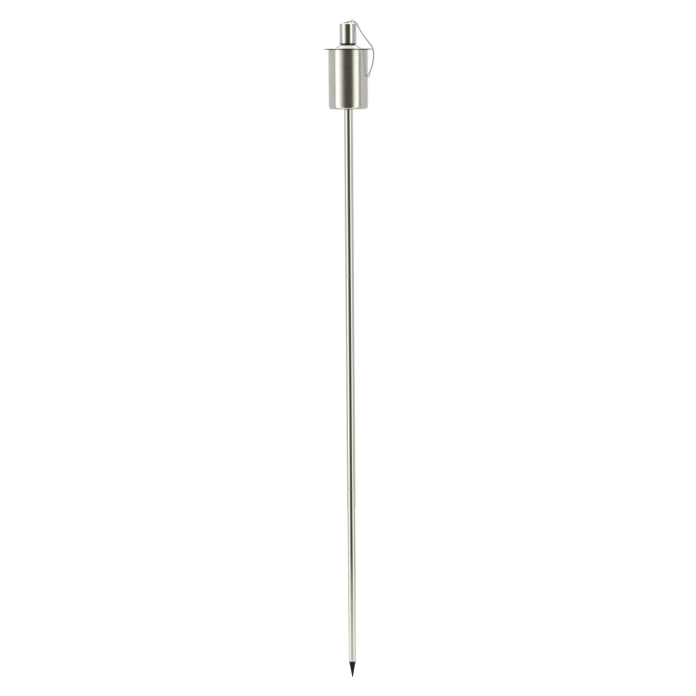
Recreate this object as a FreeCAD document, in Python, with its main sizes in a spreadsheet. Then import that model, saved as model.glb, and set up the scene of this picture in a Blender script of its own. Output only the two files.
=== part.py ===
import FreeCAD, Part
import math
import os

import Sketcher

# Stainless garden oil torch: ground spike, three-section pole, fuel canister with a wide top
# plate, a screwed wick holder and a snuffer cap on a chain. Millimetres, +Z up, origin at the
# spike's tip on the pole's axis.

SIZES = (
    ("spike_length", 42.0, "tip of the spike to the foot of the pole"),
    ("spike_shoulder", 2.6, "height of the bevel at the top of the spike's cone"),
    ("spike_shoulder_step", 0.9, "how far the bevel draws the cone in"),
    ("spike_waist_height", 23.0, "height where the cone is waist_radius wide"),
    ("spike_waist_radius", 5.0, "radius of the cone at its waist"),
    ("spike_nose_height", 8.0, "height where the cone starts its blunt nose"),
    ("spike_nose_radius", 2.1, "radius of the cone at its nose"),
    ("spike_tip_radius", 1.1, "radius of the flat under the nose"),
    ("shank_length", 40.0, "spike's shank inside the lowest tube"),
    ("shank_flute_radius", 1.8, "radius of the flutes along the shank"),
    ("shank_flute_count", 4, "flutes along the shank"),
    ("pole_radius", 9.5, "outside of all three pole sections"),
    ("pole_wall", 0.6, "wall of the pole sections"),
    ("foot_roll", 0.75, "radius of the rolled-in foot of the lowest section"),
    ("foot_lip", 0.1, "flat lip inside the rolled-in foot"),
    ("lower_length", 413.0, "lowest section, foot to joint"),
    ("middle_length", 481.0, "middle section, joint to joint"),
    ("upper_length", 356.0, "top section, joint to canister"),
    ("seam_gap", 0.2, "line left between two sections pushed together"),
    ("sleeve_depth", 45.0, "how far a joint sleeve goes into each section"),
    ("sleeve_wall", 0.8, "wall of the joint sleeves and the spigot"),
    ("slide_gap", 0.08, "radial running clearance of whatever slides or screws"),
    ("spigot_depth", 38.0, "how far the canister's spigot goes into the top section"),
    ("canister_radius", 41.8, "outside of the fuel canister"),
    ("canister_height", 124.0, "fuel canister, floor to rim"),
    ("canister_wall", 0.7, "sheet of the fuel canister"),
    ("canister_corner", 5.6, "outside radius of the canister's bottom corner"),
    ("brim_overhang", 9.2, "top plate's edge beyond the canister's wall"),
    ("plate_sheet", 0.8, "sheet of the top plate"),
    ("hem_height", 1.7, "thickness of the top plate's folded hem"),
    ("hem_width", 2.6, "width of the top plate's folded hem"),
    ("skirt_depth", 4.0, "ring under the top plate that sits inside the canister"),
    ("boss_height", 7.0, "raised middle of the top plate above its brim"),
    ("boss_margin", 0.65, "top edge of the raised middle beyond the cap"),
    ("boss_slope", 10.6, "width of the raised middle's sloping side"),
    ("boss_round", 3.0, "rounding of the raised middle's top edge"),
    ("boss_foot_round", 7.0, "rounding of the raised middle's bottom edge"),
    ("neck_radius", 13.4, "threaded outside of the filler neck"),
    ("neck_wall", 1.5, "wall of the filler neck"),
    ("neck_rise", 4.6, "filler neck above the raised middle"),
    ("neck_drop", 9.0, "filler neck below the raised middle's sheet"),
    ("neck_flange", 2.2, "width of the filler neck's flange under the plate"),
    ("neck_flange_sheet", 1.2, "thickness of the filler neck's flange"),
    ("gasket_sheet", 1.2, "thickness of the rubber washer"),
    ("flange_sheet", 1.0, "thickness of the wick holder's flange"),
    ("flange_step", 0.2, "how far the flange and washer stay inside the neck's outside"),
    ("ring_wall", 2.1, "wall of the screw ring outside the thread"),
    ("ring_lip", 1.2, "thickness of the screw ring's top lip"),
    ("window_margin", 1.7, "opening in the screw ring's lip beyond the wick tube"),
    ("ring_lift", 0.5, "screw ring's lower edge above the raised middle"),
    ("knurl_radius", 0.55, "radius of the flutes round the screw ring"),
    ("knurl_count", 28, "flutes round the screw ring"),
    ("wick_radius", 6.4, "fibreglass wick"),
    ("wick_gap", 0.3, "clearance round the wick"),
    ("holder_wall", 0.6, "wall of the wick tube"),
    ("holder_rise", 4.6, "wick tube above its flange"),
    ("holder_drop", 38.0, "wick tube below its flange"),
    ("wick_show", 4.2, "wick above its tube"),
    ("wick_clearance", 11.0, "wick's lower end above the canister's floor"),
    ("cap_room", 1.57, "clearance inside the snuffer cap round the screw ring"),
    ("cap_height", 42.8, "snuffer cap, lip to top"),
    ("cap_sheet", 0.6, "sheet of the snuffer cap"),
    ("cap_crown", 1.6, "rounding of the cap's top edge"),
    ("cap_curl", 1.5, "rounding of the cap's rolled-in lip"),
    ("cap_lip", 0.25, "flat lip inside the cap's rolled-in edge"),
    ("cap_seat_gap", 1.5, "cap's lip above the raised middle"),
    ("rivet_radius", 1.3, "post through the cap's top"),
    ("rivet_post", 4.6, "post above the cap's top"),
    ("rivet_head", 2.6, "radius of the rivet's upper head"),
    ("rivet_head_sheet", 0.9, "thickness of the rivet's upper head"),
    ("rivet_base", 4.0, "radius of the rivet's head inside the cap"),
    ("rivet_base_sheet", 1.0, "thickness of the rivet's head inside the cap"),
    ("tab_width", 6.6, "swivel tab"),
    ("tab_sheet", 1.1, "thickness of the swivel tab"),
    ("tab_short_end", 10.5, "rivet to the tab's free end"),
    ("tab_long_end", 8.6, "rivet to the tab's ring end"),
    ("tab_ring_hole", 6.4, "rivet to the hole for the ring"),
    ("tab_ring_hole_radius", 1.15, "hole for the ring"),
    ("tab_play", 0.4, "clearance of the tab on its rivet"),
    ("tab_height", 2.9, "middle of the tab above the cap's top"),
    ("tab_tilt", 8.0, "tab's slope up towards the ring, degrees"),
    ("ring_radius", 2.9, "cap ring, centre of its wire"),
    ("ring_wire", 0.55, "radius of the cap ring's wire"),
    ("ring_out", 9.2, "cap ring's centre from the axis"),
    ("ring_up", 4.8, "cap ring's centre above the cap's top"),
    ("ring_slit", 6.0, "open slit of both rings, degrees"),
    ("ring_slit_turn", 60.0, "cap ring's slit, up from its outer side, degrees"),
    ("end_ring_slit_turn", 240.0, "anchor ring's slit, up from its outer side, degrees"),
    ("chain_bearing", 21.0, "turn of the chain's plane from +X towards the front, degrees"),
    ("chain_radius", 1.5, "half the chain's width"),
    ("eye_drop", 55.0, "anchor eye below the canister's rim"),
    ("eye_pad_radius", 4.2, "round pad welded to the canister"),
    ("eye_pad_sheet", 1.0, "thickness of that pad"),
    ("eye_sink", 0.5, "how deep the loop's ends go into the pad"),
    ("eye_loop", 3.0, "loop, centre of its wire"),
    ("eye_wire", 0.7, "radius of the loop's wire"),
    ("end_ring_radius", 2.6, "anchor ring, centre of its wire"),
    ("end_ring_wire", 0.5, "radius of the anchor ring's wire"),
    ("end_ring_out", 4.35, "anchor ring's centre from the canister's wall"),
    ("end_ring_up", 0.8, "anchor ring's centre above the eye"),
)

# The chain's route from the cap ring to the anchor ring, in its own upright plane: distance from
# the pole's axis, and height above the cap's seat on the top plate.
CHAIN_ROUTE = (
    (13.1, 48.6),
    (20.7, 47.7),
    (25.6, 36.9),
    (35.3, 20.2),
    (48.5, 5.8),
    (57.1, -7.2),
    (58.9, -21.0),
    (56.9, -35.0),
    (53.3, -47.8),
    (48.0, -58.4),
)

# Roundings and setbacks, each as a share of the size it belongs to.
TIP_ROUNDING = 0.8
LEAD_ROUNDING = 0.5
HEM_ROUNDING = 0.45
LIP_ROUNDING = 0.5
WICK_ROUNDING = 0.2
RIVET_ROUNDING = 0.7
TAB_ROUNDING = 0.92
KNURL_SETBACK = 0.4
BEND_SHARE = 0.45

VOLUME_TOLERANCE = 0.02
UPRIGHT = 0.9

document = FreeCAD.newDocument("garden_torch")
sheet = document.addObject("Spreadsheet::Sheet", "Sizes")


class Size:
    """A number and the sheet formula that gives it, so that sketches can be drawn and bound."""

    def __init__(self, value, formula):
        self.value = value
        self.formula = formula

    def joined(self, sign, other, value):
        return Size(value, "(%s %s %s)" % (self.formula, sign, text_of(other)))

    def __add__(self, other):
        return self.joined("+", other, self.value + number_of(other))

    def __sub__(self, other):
        return self.joined("-", other, self.value - number_of(other))

    def __mul__(self, other):
        return self.joined("*", other, self.value * number_of(other))

    def __truediv__(self, other):
        return self.joined("/", other, self.value / number_of(other))


def number_of(thing):
    return thing.value if isinstance(thing, Size) else thing


def text_of(thing):
    return thing.formula if isinstance(thing, Size) else str(thing)


def fill_sheet():
    """Write each driving size into the sheet under its own alias."""
    for row, (alias, value, meaning) in enumerate(SIZES, start=1):
        sheet.set("A%d" % row, alias)
        sheet.set("B%d" % row, str(value))
        sheet.set("C%d" % row, meaning)
        sheet.setAlias("B%d" % row, alias)
    document.recompute()


def size(alias):
    return Size(float(sheet.get(alias)), "Sizes." + alias)


ZERO = Size(0.0, "0")


def ring_outside():
    """Outside of the screw ring."""
    return size("neck_radius") + size("slide_gap") + size("ring_wall")


def cap_outside():
    """Outside of the snuffer cap, which clears the screw ring."""
    return ring_outside() + size("cap_room") + size("cap_sheet")


def wick_tube_outside():
    """Outside of the tube that holds the wick."""
    return size("wick_radius") + size("wick_gap") + size("holder_wall")


def new_body(node, height):
    """A body named for its node, standing at the given height on the pole's axis."""
    body = document.addObject("PartDesign::Body", node)
    body.Label = node
    body.setExpression("Placement.Base.z", text_of(height))
    return body


def new_sketch(body, name, plane_role):
    """An empty sketch on one of the body's own origin planes."""
    sketch = body.newObject("Sketcher::SketchObject", body.Label + "_" + name)
    plane = [item for item in body.Origin.OriginFeatures if item.Role == plane_role][0]
    sketch.AttachmentSupport = (plane, [""])
    sketch.MapMode = "FlatFace"
    return sketch


def hold_point(sketch, geometry, point, kind, distance):
    """Fix one coordinate of a sketch point: on the axis when it is zero, else a bound distance."""
    if distance.value == 0:
        axis = -2 if kind == "DistanceX" else -1
        sketch.addConstraint(Sketcher.Constraint("PointOnObject", geometry, point, axis))
        return
    rule = Sketcher.Constraint(kind, -1, 1, geometry, point, distance.value)
    index = sketch.addConstraint(rule)
    sketch.setExpression("Constraints[%d]" % index, distance.formula)


def outline(sketch, corners):
    """A closed straight-sided outline whose corners follow the sheet."""
    places = [FreeCAD.Vector(across.value, up.value, 0) for across, up in corners]
    count = len(places)
    for index in range(count):
        edge = Part.LineSegment(places[index], places[(index + 1) % count])
        sketch.addGeometry(edge, False)
    for index in range(count):
        joint = Sketcher.Constraint("Coincident", index, 2, (index + 1) % count, 1)
        sketch.addConstraint(joint)
    for index, (across, up) in enumerate(corners):
        hold_point(sketch, index, 1, "DistanceX", across)
        hold_point(sketch, index, 1, "DistanceY", up)


def circle(sketch, across, up, radius):
    """A circle whose middle and radius follow the sheet."""
    middle = FreeCAD.Vector(across.value, up.value, 0)
    shape = Part.Circle(middle, FreeCAD.Vector(0, 0, 1), radius.value)
    geometry = sketch.addGeometry(shape, False)
    hold_point(sketch, geometry, 3, "DistanceX", across)
    hold_point(sketch, geometry, 3, "DistanceY", up)
    index = sketch.addConstraint(Sketcher.Constraint("Radius", geometry, radius.value))
    sketch.setExpression("Constraints[%d]" % index, radius.formula)


def turn(body, corners):
    """Spin an outline, given as (radius, height) corners, round the body's Z axis."""
    sketch = new_sketch(body, "profile", "XZ_Plane")
    outline(sketch, corners)
    feature = body.newObject("PartDesign::Revolution", body.Label + "_turn")
    feature.Profile = sketch
    feature.ReferenceAxis = (sketch, ["V_Axis"])
    feature.Angle = 360
    sketch.Visibility = False
    document.recompute()
    return feature


def rim_names(shape, radius, height):
    """Names of the circular edges with the given radius at the given height."""
    names = []
    for number, edge in enumerate(shape.Edges, start=1):
        curve = edge.Curve
        if not isinstance(curve, Part.Circle):
            continue
        same_radius = abs(curve.Radius - radius.value) < 1e-4
        if same_radius and abs(curve.Center.z - height.value) < 1e-4:
            names.append("Edge%d" % number)
    return names


def round_rim(body, radius, height, rounding):
    """Round the circular edge of a turned body."""
    base = body.Tip
    names = rim_names(base.Shape, radius, height)
    if not names:
        raise RuntimeError("%s has no rim at that radius and height" % body.Label)
    feature = body.newObject("PartDesign::Fillet", body.Label + "_round")
    feature.Base = (base, names)
    feature.setExpression("Radius", text_of(rounding))
    document.recompute()


def cut_through(body, sketch, length):
    """Cut a sketch on the XY plane upwards through the body, and check that it removed metal."""
    before = body.Shape.Volume
    feature = body.newObject("PartDesign::Pocket", body.Label + "_cut")
    feature.Profile = sketch
    feature.Reversed = True
    feature.setExpression("Length", text_of(length))
    sketch.Visibility = False
    document.recompute()
    if body.Shape.Volume >= before:
        raise RuntimeError("a cut in %s removed nothing" % body.Label)
    return feature


def repeat_round(body, feature, sketch, count):
    """Repeat a cut evenly round the Z axis."""
    pattern = body.newObject("PartDesign::PolarPattern", body.Label + "_pattern")
    pattern.Originals = [feature]
    pattern.Axis = (sketch, ["N_Axis"])
    pattern.Angle = 360
    pattern.setExpression("Occurrences", text_of(count))
    body.Tip = pattern
    document.recompute()


def spike(tube_foot, bore, mouth):
    """Plastic ground spike: a bevelled cone, and a fluted shank in the lowest tube."""
    body = new_body("ground_spike", ZERO)
    neck_top = tube_foot + size("pole_wall")
    shoulder = tube_foot - size("spike_shoulder")
    shank_start = neck_top + size("foot_roll")
    shank_end = tube_foot + size("shank_length")
    turn(body, (
        (ZERO, ZERO),
        (size("spike_tip_radius"), ZERO),
        (size("spike_nose_radius"), size("spike_nose_height")),
        (size("spike_waist_radius"), size("spike_waist_height")),
        (mouth - size("spike_shoulder_step"), shoulder),
        (mouth, tube_foot),
        (mouth, neck_top),
        (bore, shank_start),
        (bore, shank_end),
        (ZERO, shank_end),
    ))
    round_rim(body, size("spike_tip_radius"), ZERO, size("spike_tip_radius") * TIP_ROUNDING)
    flutes = new_sketch(body, "flute", "XY_Plane")
    circle(flutes, bore, ZERO, size("shank_flute_radius"))
    flutes.AttachmentOffset.Base.z = shank_start.value
    flutes.setExpression("AttachmentOffset.Base.z", shank_start.formula)
    document.recompute()
    flute = cut_through(body, flutes, shank_end)
    repeat_round(body, flute, flutes, size("shank_flute_count"))
    return body


def foot_tube(bore, mouth, foot, length):
    """Lowest pole section, its foot rolled in to hold the spike."""
    body = new_body("lower_tube", foot)
    outside = size("pole_radius")
    wall = size("pole_wall")
    turn(body, (
        (mouth, ZERO),
        (outside, ZERO),
        (outside, length),
        (bore, length),
        (bore, wall),
        (mouth, wall),
    ))
    round_rim(body, outside, ZERO, size("foot_roll"))
    round_rim(body, bore, wall, size("foot_roll") - wall)
    return body


def straight_tube(node, bore, foot, length):
    """A plain pole section, starting just above the one below it."""
    body = new_body(node, foot + size("seam_gap"))
    sketch = new_sketch(body, "ring", "XY_Plane")
    circle(sketch, ZERO, ZERO, size("pole_radius"))
    circle(sketch, ZERO, ZERO, bore)
    pad = body.newObject("PartDesign::Pad", node + "_pad")
    pad.Profile = sketch
    pad.setExpression("Length", text_of(length - size("seam_gap")))
    sketch.Visibility = False
    document.recompute()
    return body


def joint_sleeve(node, bore, joint):
    """Sleeve fixed in the section below a joint; the section above slides on its slimmer half."""
    depth = size("sleeve_depth")
    body = new_body(node, joint - depth)
    slim = bore - size("slide_gap")
    inside = bore - size("sleeve_wall")
    turn(body, (
        (inside, ZERO),
        (bore, ZERO),
        (bore, depth),
        (slim, depth),
        (slim, depth * 2),
        (inside, depth * 2),
    ))
    round_rim(body, slim, depth * 2, size("sleeve_wall") * LEAD_ROUNDING)
    return body


def head_spigot(bore, canister_floor):
    """Cup welded under the canister that drops into the top pole section."""
    depth = size("spigot_depth")
    body = new_body("head_spigot", canister_floor - depth)
    outside = bore - size("slide_gap")
    inside = outside - size("sleeve_wall")
    closed = depth - size("sleeve_wall")
    turn(body, (
        (inside, ZERO),
        (outside, ZERO),
        (outside, depth),
        (ZERO, depth),
        (ZERO, closed),
        (inside, closed),
    ))
    round_rim(body, outside, ZERO, size("sleeve_wall") * LEAD_ROUNDING)
    return body


def canister(canister_floor):
    """Drawn fuel can, open at the top, with a rounded bottom corner."""
    body = new_body("canister", canister_floor)
    outside = size("canister_radius")
    wall = size("canister_wall")
    inside = outside - wall
    height = size("canister_height")
    turn(body, (
        (ZERO, ZERO),
        (outside, ZERO),
        (outside, height),
        (inside, height),
        (inside, wall),
        (ZERO, wall),
    ))
    round_rim(body, outside, ZERO, size("canister_corner"))
    round_rim(body, inside, wall, size("canister_corner") - wall)
    return body


def top_plate(rim):
    """Pressed plate over the canister: hemmed brim, locating skirt and a raised middle."""
    body = new_body("top_plate", rim)
    sheet_size = size("plate_sheet")
    edge = size("canister_radius") + size("brim_overhang")
    boss_edge = cap_outside() + size("boss_margin")
    boss_foot = boss_edge + size("boss_slope")
    hem_inside = edge - size("hem_width")
    skirt = size("canister_radius") - size("canister_wall")
    boss = sheet_size + size("boss_height")
    hem_foot = sheet_size - size("hem_height")
    turn(body, (
        (size("neck_radius"), boss),
        (boss_edge, boss),
        (boss_foot, sheet_size),
        (edge, sheet_size),
        (edge, hem_foot),
        (hem_inside, hem_foot),
        (hem_inside, ZERO),
        (skirt, ZERO),
        (skirt, ZERO - size("skirt_depth")),
        (skirt - sheet_size, ZERO - size("skirt_depth")),
        (skirt - sheet_size, ZERO),
        (boss_foot, ZERO),
        (boss_edge, size("boss_height")),
        (size("neck_radius"), size("boss_height")),
    ))
    round_rim(body, boss_edge, boss, size("boss_round"))
    round_rim(body, boss_edge, size("boss_height"), size("boss_round"))
    round_rim(body, boss_foot, sheet_size, size("boss_foot_round"))
    round_rim(body, boss_foot, ZERO, size("boss_foot_round"))
    round_rim(body, edge, sheet_size, size("hem_height") * HEM_ROUNDING)
    round_rim(body, edge, hem_foot, size("hem_height") * HEM_ROUNDING)
    return body


def filler_neck(seat):
    """Threaded collar through the top plate, flanged underneath."""
    underside = seat - size("plate_sheet")
    body = new_body("filler_neck", underside - size("neck_drop"))
    outside = size("neck_radius")
    inside = outside - size("neck_wall")
    flange = outside + size("neck_flange")
    drop = size("neck_drop")
    top = drop + size("plate_sheet") + size("neck_rise")
    turn(body, (
        (inside, ZERO),
        (outside, ZERO),
        (outside, drop - size("neck_flange_sheet")),
        (flange, drop - size("neck_flange_sheet")),
        (flange, drop),
        (outside, drop),
        (outside, top),
        (inside, top),
    ))
    return body


def washer(node, height, hole, outside, thickness):
    """A flat ring."""
    body = new_body(node, height)
    sketch = new_sketch(body, "ring", "XY_Plane")
    circle(sketch, ZERO, ZERO, outside)
    circle(sketch, ZERO, ZERO, hole)
    pad = body.newObject("PartDesign::Pad", node + "_pad")
    pad.Profile = sketch
    pad.setExpression("Length", text_of(thickness))
    sketch.Visibility = False
    document.recompute()
    return body


def wick_holder(flange_foot, tube_inside, tube_outside, flange):
    """Tube for the wick, with the flange that the screw ring clamps."""
    body = new_body("wick_holder", flange_foot - size("holder_drop"))
    drop = size("holder_drop")
    flange_top = drop + size("flange_sheet")
    top = flange_top + size("holder_rise")
    turn(body, (
        (tube_inside, ZERO),
        (tube_outside, ZERO),
        (tube_outside, drop),
        (flange, drop),
        (flange, flange_top),
        (tube_outside, flange_top),
        (tube_outside, top),
        (tube_inside, top),
    ))
    return body


def screw_ring(foot, lip_foot):
    """Knurled ring that screws on the neck and clamps the wick holder's flange."""
    body = new_body("screw_ring", foot)
    thread = size("neck_radius") + size("slide_gap")
    outside = ring_outside()
    window = wick_tube_outside() + size("window_margin")
    lip = lip_foot - foot
    top = lip + size("ring_lip")
    turn(body, (
        (thread, ZERO),
        (outside, ZERO),
        (outside, top),
        (window, top),
        (window, lip),
        (thread, lip),
    ))
    round_rim(body, outside, top, size("ring_lip") * LIP_ROUNDING)
    sketch = new_sketch(body, "knurl", "XY_Plane")
    circle(sketch, outside + size("knurl_radius") * KNURL_SETBACK, ZERO, size("knurl_radius"))
    document.recompute()
    flute = cut_through(body, sketch, top * 2)
    repeat_round(body, flute, sketch, size("knurl_count"))
    return body


def wick(foot, top):
    """Fibreglass wick with softened ends."""
    body = new_body("wick", foot)
    sketch = new_sketch(body, "section", "XY_Plane")
    circle(sketch, ZERO, ZERO, size("wick_radius"))
    pad = body.newObject("PartDesign::Pad", "wick_pad")
    pad.Profile = sketch
    length = top - foot
    pad.setExpression("Length", text_of(length))
    sketch.Visibility = False
    document.recompute()
    round_rim(body, size("wick_radius"), length, size("wick_radius") * WICK_ROUNDING)
    return body


def snuffer_cap(lip):
    """Drawn cap with a rolled-in lip and a hole for its rivet."""
    body = new_body("snuffer_cap", lip)
    outside = cap_outside()
    skin = size("cap_sheet")
    inside = outside - skin
    height = size("cap_height")
    mouth = outside - size("cap_curl") - size("cap_lip")
    turn(body, (
        (mouth, ZERO),
        (outside, ZERO),
        (outside, height),
        (size("rivet_radius"), height),
        (size("rivet_radius"), height - skin),
        (inside, height - skin),
        (inside, skin),
        (mouth, skin),
    ))
    round_rim(body, outside, height, size("cap_crown"))
    round_rim(body, inside, height - skin, size("cap_crown") - skin)
    round_rim(body, outside, ZERO, size("cap_curl"))
    round_rim(body, inside, skin, size("cap_curl") - skin)
    return body


def cap_rivet(cap_top):
    """Rivet through the cap's top, its post long enough for a loose tab."""
    below = size("cap_sheet") + size("rivet_base_sheet")
    body = new_body("cap_rivet", cap_top - below)
    post = below + size("rivet_post")
    top = post + size("rivet_head_sheet")
    turn(body, (
        (ZERO, ZERO),
        (size("rivet_base"), ZERO),
        (size("rivet_base"), size("rivet_base_sheet")),
        (size("rivet_radius"), size("rivet_base_sheet")),
        (size("rivet_radius"), post),
        (size("rivet_head"), post),
        (size("rivet_head"), top),
        (ZERO, top),
    ))
    round_rim(body, size("rivet_head"), top, size("rivet_head_sheet") * RIVET_ROUNDING)
    return body


def chain_turn():
    """Turn of the chain's plane about Z, from +X towards the front."""
    return FreeCAD.Rotation(FreeCAD.Vector(0, 0, 1), -size("chain_bearing").value)


def on_chain_plane(out, height):
    """A point in the chain's upright plane."""
    return chain_turn().multVec(FreeCAD.Vector(number_of(out), 0, number_of(height)))


def swivel_tab(cap_top):
    """Loose tab under the rivet's head, sloping up to the ring in the chain's plane."""
    body = document.addObject("PartDesign::Body", "swivel_tab")
    body.Label = "swivel_tab"
    half = size("tab_width") / 2
    sketch = new_sketch(body, "outline", "XY_Plane")
    outline(sketch, (
        (ZERO - size("tab_short_end"), ZERO - half),
        (size("tab_long_end"), ZERO - half),
        (size("tab_long_end"), half),
        (ZERO - size("tab_short_end"), half),
    ))
    pad = body.newObject("PartDesign::Pad", "swivel_tab_pad")
    pad.Profile = sketch
    pad.setExpression("Length", text_of(size("tab_sheet")))
    sketch.Visibility = False
    document.recompute()
    upright = []
    for number, edge in enumerate(pad.Shape.Edges, start=1):
        if abs(edge.tangentAt(edge.FirstParameter).z) > UPRIGHT:
            upright.append("Edge%d" % number)
    rounded = body.newObject("PartDesign::Fillet", "swivel_tab_ends")
    rounded.Base = (pad, upright)
    rounded.setExpression("Radius", text_of(half * TAB_ROUNDING))
    document.recompute()
    holes = new_sketch(body, "holes", "XY_Plane")
    circle(holes, ZERO, ZERO, size("rivet_radius") + size("tab_play"))
    circle(holes, size("tab_ring_hole"), ZERO, size("tab_ring_hole_radius"))
    document.recompute()
    cut_through(body, holes, size("tab_sheet") * 2)
    tilt = FreeCAD.Rotation(FreeCAD.Vector(0, 1, 0), -size("tab_tilt").value)
    middle = (cap_top + size("tab_height")).value
    body.Placement = FreeCAD.Placement(
        FreeCAD.Vector(0, 0, middle - size("tab_sheet").value / 2), chain_turn() * tilt
    )
    return body


def wire_ring(node, radius, wire, out, height, slit_turn):
    """A split ring of wire standing in the chain's plane."""
    ring = document.addObject("Part::Torus", node)
    ring.Label = node
    ring.setExpression("Radius1", text_of(radius))
    ring.setExpression("Radius2", text_of(wire))
    ring.setExpression("Angle3", "360 - Sizes.ring_slit")
    upright = FreeCAD.Rotation(FreeCAD.Vector(1, 0, 0), 90)
    slit = FreeCAD.Rotation(FreeCAD.Vector(0, 0, 1), slit_turn.value)
    place = on_chain_plane(out, height)
    ring.Placement = FreeCAD.Placement(place, chain_turn() * upright * slit)
    return ring


def anchor_eye(height):
    """Round pad welded to the canister's wall, with a wire loop lying level."""
    pad_face = size("canister_radius") + size("eye_pad_sheet")
    loop_middle = pad_face - size("eye_sink")
    pad = document.addObject("Part::Cylinder", "eye_pad")
    pad.setExpression("Radius", "Sizes.eye_pad_radius")
    pad.setExpression("Height", pad_face.formula)
    outward = FreeCAD.Rotation(FreeCAD.Vector(0, 1, 0), 90)
    pad.Placement = FreeCAD.Placement(on_chain_plane(0, height), chain_turn() * outward)
    can = document.addObject("Part::Cylinder", "eye_relief")
    can.setExpression("Radius", "Sizes.canister_radius")
    can.setExpression("Height", "Sizes.canister_height")
    can.Placement.Base.z = height.value - size("canister_height").value / 2
    seat = document.addObject("Part::Cut", "eye_seat")
    seat.Base = pad
    seat.Tool = can
    loop = document.addObject("Part::Torus", "eye_loop_wire")
    loop.setExpression("Radius1", "Sizes.eye_loop")
    loop.setExpression("Radius2", "Sizes.eye_wire")
    loop.Angle3 = 180
    quarter = FreeCAD.Rotation(FreeCAD.Vector(0, 0, 1), -90)
    place = on_chain_plane(loop_middle, height)
    loop.Placement = FreeCAD.Placement(place, chain_turn() * quarter)
    eye = document.addObject("Part::Fuse", "anchor_eye")
    eye.Label = "anchor_eye"
    eye.Base = seat
    eye.Tool = loop
    document.recompute()
    return eye


def route_wire(points):
    """Straight runs joined by tangent arcs, each arc as large as its two runs allow."""
    edges = []
    radii = []
    start = points[0]
    for before, corner, after in zip(points, points[1:], points[2:]):
        arrive = corner - before
        leave = after - corner
        turn_angle = arrive.getAngle(leave)
        shorter = min(arrive.Length, leave.Length)
        setback = BEND_SHARE * shorter
        radii.append(setback / math.tan(turn_angle / 2))
        arrive.normalize()
        leave.normalize()
        arc_start = corner - arrive * setback
        arc_end = corner + leave * setback
        inward = leave - arrive
        inward.normalize()
        middle_of_arc = radii[-1] / math.cos(turn_angle / 2) - radii[-1]
        edges.append(Part.LineSegment(start, arc_start).toShape())
        edges.append(Part.Arc(arc_start, corner + inward * middle_of_arc, arc_end).toShape())
        start = arc_end
    edges.append(Part.LineSegment(start, points[-1]).toShape())
    return Part.Wire(edges), radii


def chain(seat):
    """The chain as a plain tube along its route."""
    points = [on_chain_plane(out, seat.value + up) for out, up in CHAIN_ROUTE]
    path, radii = route_wire(points)
    width = size("chain_radius").value
    first_run = points[1] - points[0]
    section = Part.Wire([Part.Circle(points[0], first_run, width).toShape()])
    tube = path.makePipeShell([section], True, True)
    expected = math.pi * width ** 2 * path.Length
    print("chain: length %.1f mm" % path.Length)
    print("chain: arc radii", ", ".join("%.1f" % radius for radius in radii))
    print("chain: volume %.1f, section times length %.1f" % (tube.Volume, expected))
    if abs(tube.Volume / expected - 1) > VOLUME_TOLERANCE:
        raise RuntimeError("the chain's tube has the wrong volume")
    feature = document.addObject("Part::Feature", "chain")
    feature.Label = "chain"
    feature.Shape = tube
    feature.Placement = FreeCAD.Placement()
    return feature


def pole_pieces(bore):
    """Spike, three tubes and the two sleeves that join them."""
    mouth = size("pole_radius") - size("foot_roll") - size("foot_lip")
    foot = size("spike_length")
    lower_joint = foot + size("lower_length")
    upper_joint = lower_joint + size("middle_length")
    return [
        spike(foot, bore, mouth),
        foot_tube(bore, mouth, foot, size("lower_length")),
        joint_sleeve("lower_joint_sleeve", bore, lower_joint),
        straight_tube("middle_tube", bore, lower_joint, size("middle_length")),
        joint_sleeve("upper_joint_sleeve", bore, upper_joint),
        straight_tube("upper_tube", bore, upper_joint, size("upper_length") - size("seam_gap")),
    ]


def head_pieces(bore, canister_floor):
    """Canister, plate and neck, and the eye that holds the chain."""
    rim = canister_floor + size("canister_height")
    seat = rim + size("plate_sheet") + size("boss_height")
    return [
        head_spigot(bore, canister_floor),
        canister(canister_floor),
        top_plate(rim),
        filler_neck(seat),
        anchor_eye(rim - size("eye_drop")),
    ]


def burner_pieces(canister_floor, seat):
    """Washer, wick holder, screw ring and wick, stacked on the neck."""
    gasket_foot = seat + size("neck_rise")
    flange_foot = gasket_foot + size("gasket_sheet")
    flange_top = flange_foot + size("flange_sheet")
    tube_outside = wick_tube_outside()
    tube_inside = tube_outside - size("holder_wall")
    flange = size("neck_radius") - size("flange_step")
    wick_foot = canister_floor + size("canister_wall") + size("wick_clearance")
    wick_top = flange_top + size("holder_rise") + size("wick_show")
    return [
        washer("neck_gasket", gasket_foot, tube_outside, flange, size("gasket_sheet")),
        wick_holder(flange_foot, tube_inside, tube_outside, flange),
        screw_ring(seat + size("ring_lift"), flange_top + size("slide_gap")),
        wick(wick_foot, wick_top),
    ]


def cap_pieces(rim, seat):
    """Snuffer cap with its rivet, tab and rings, and the chain."""
    lip = seat + size("cap_seat_gap")
    cap_top = lip + size("cap_height")
    eye_height = rim - size("eye_drop")
    wall = size("canister_radius")
    return [
        snuffer_cap(lip),
        cap_rivet(cap_top),
        swivel_tab(cap_top),
        wire_ring("cap_ring", size("ring_radius"), size("ring_wire"),
                  size("ring_out"), cap_top + size("ring_up"), size("ring_slit_turn")),
        chain(seat),
        wire_ring("anchor_ring", size("end_ring_radius"), size("end_ring_wire"),
                  wall + size("end_ring_out"), eye_height + size("end_ring_up"),
                  size("end_ring_slit_turn")),
    ]


def check_model(pieces):
    """Stop if any object failed, or any piece has no sound shape."""
    document.recompute()
    for item in document.Objects:
        if "Invalid" in item.State or "Error" in item.State:
            raise RuntimeError("%s failed: %s" % (item.Label, item.State))
    for piece in pieces:
        if piece.Shape.isNull() or not piece.Shape.isValid():
            raise RuntimeError("%s has no sound shape" % piece.Label)
        if not piece.Shape.Solids:
            raise RuntimeError("%s has no solid" % piece.Label)


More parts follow.
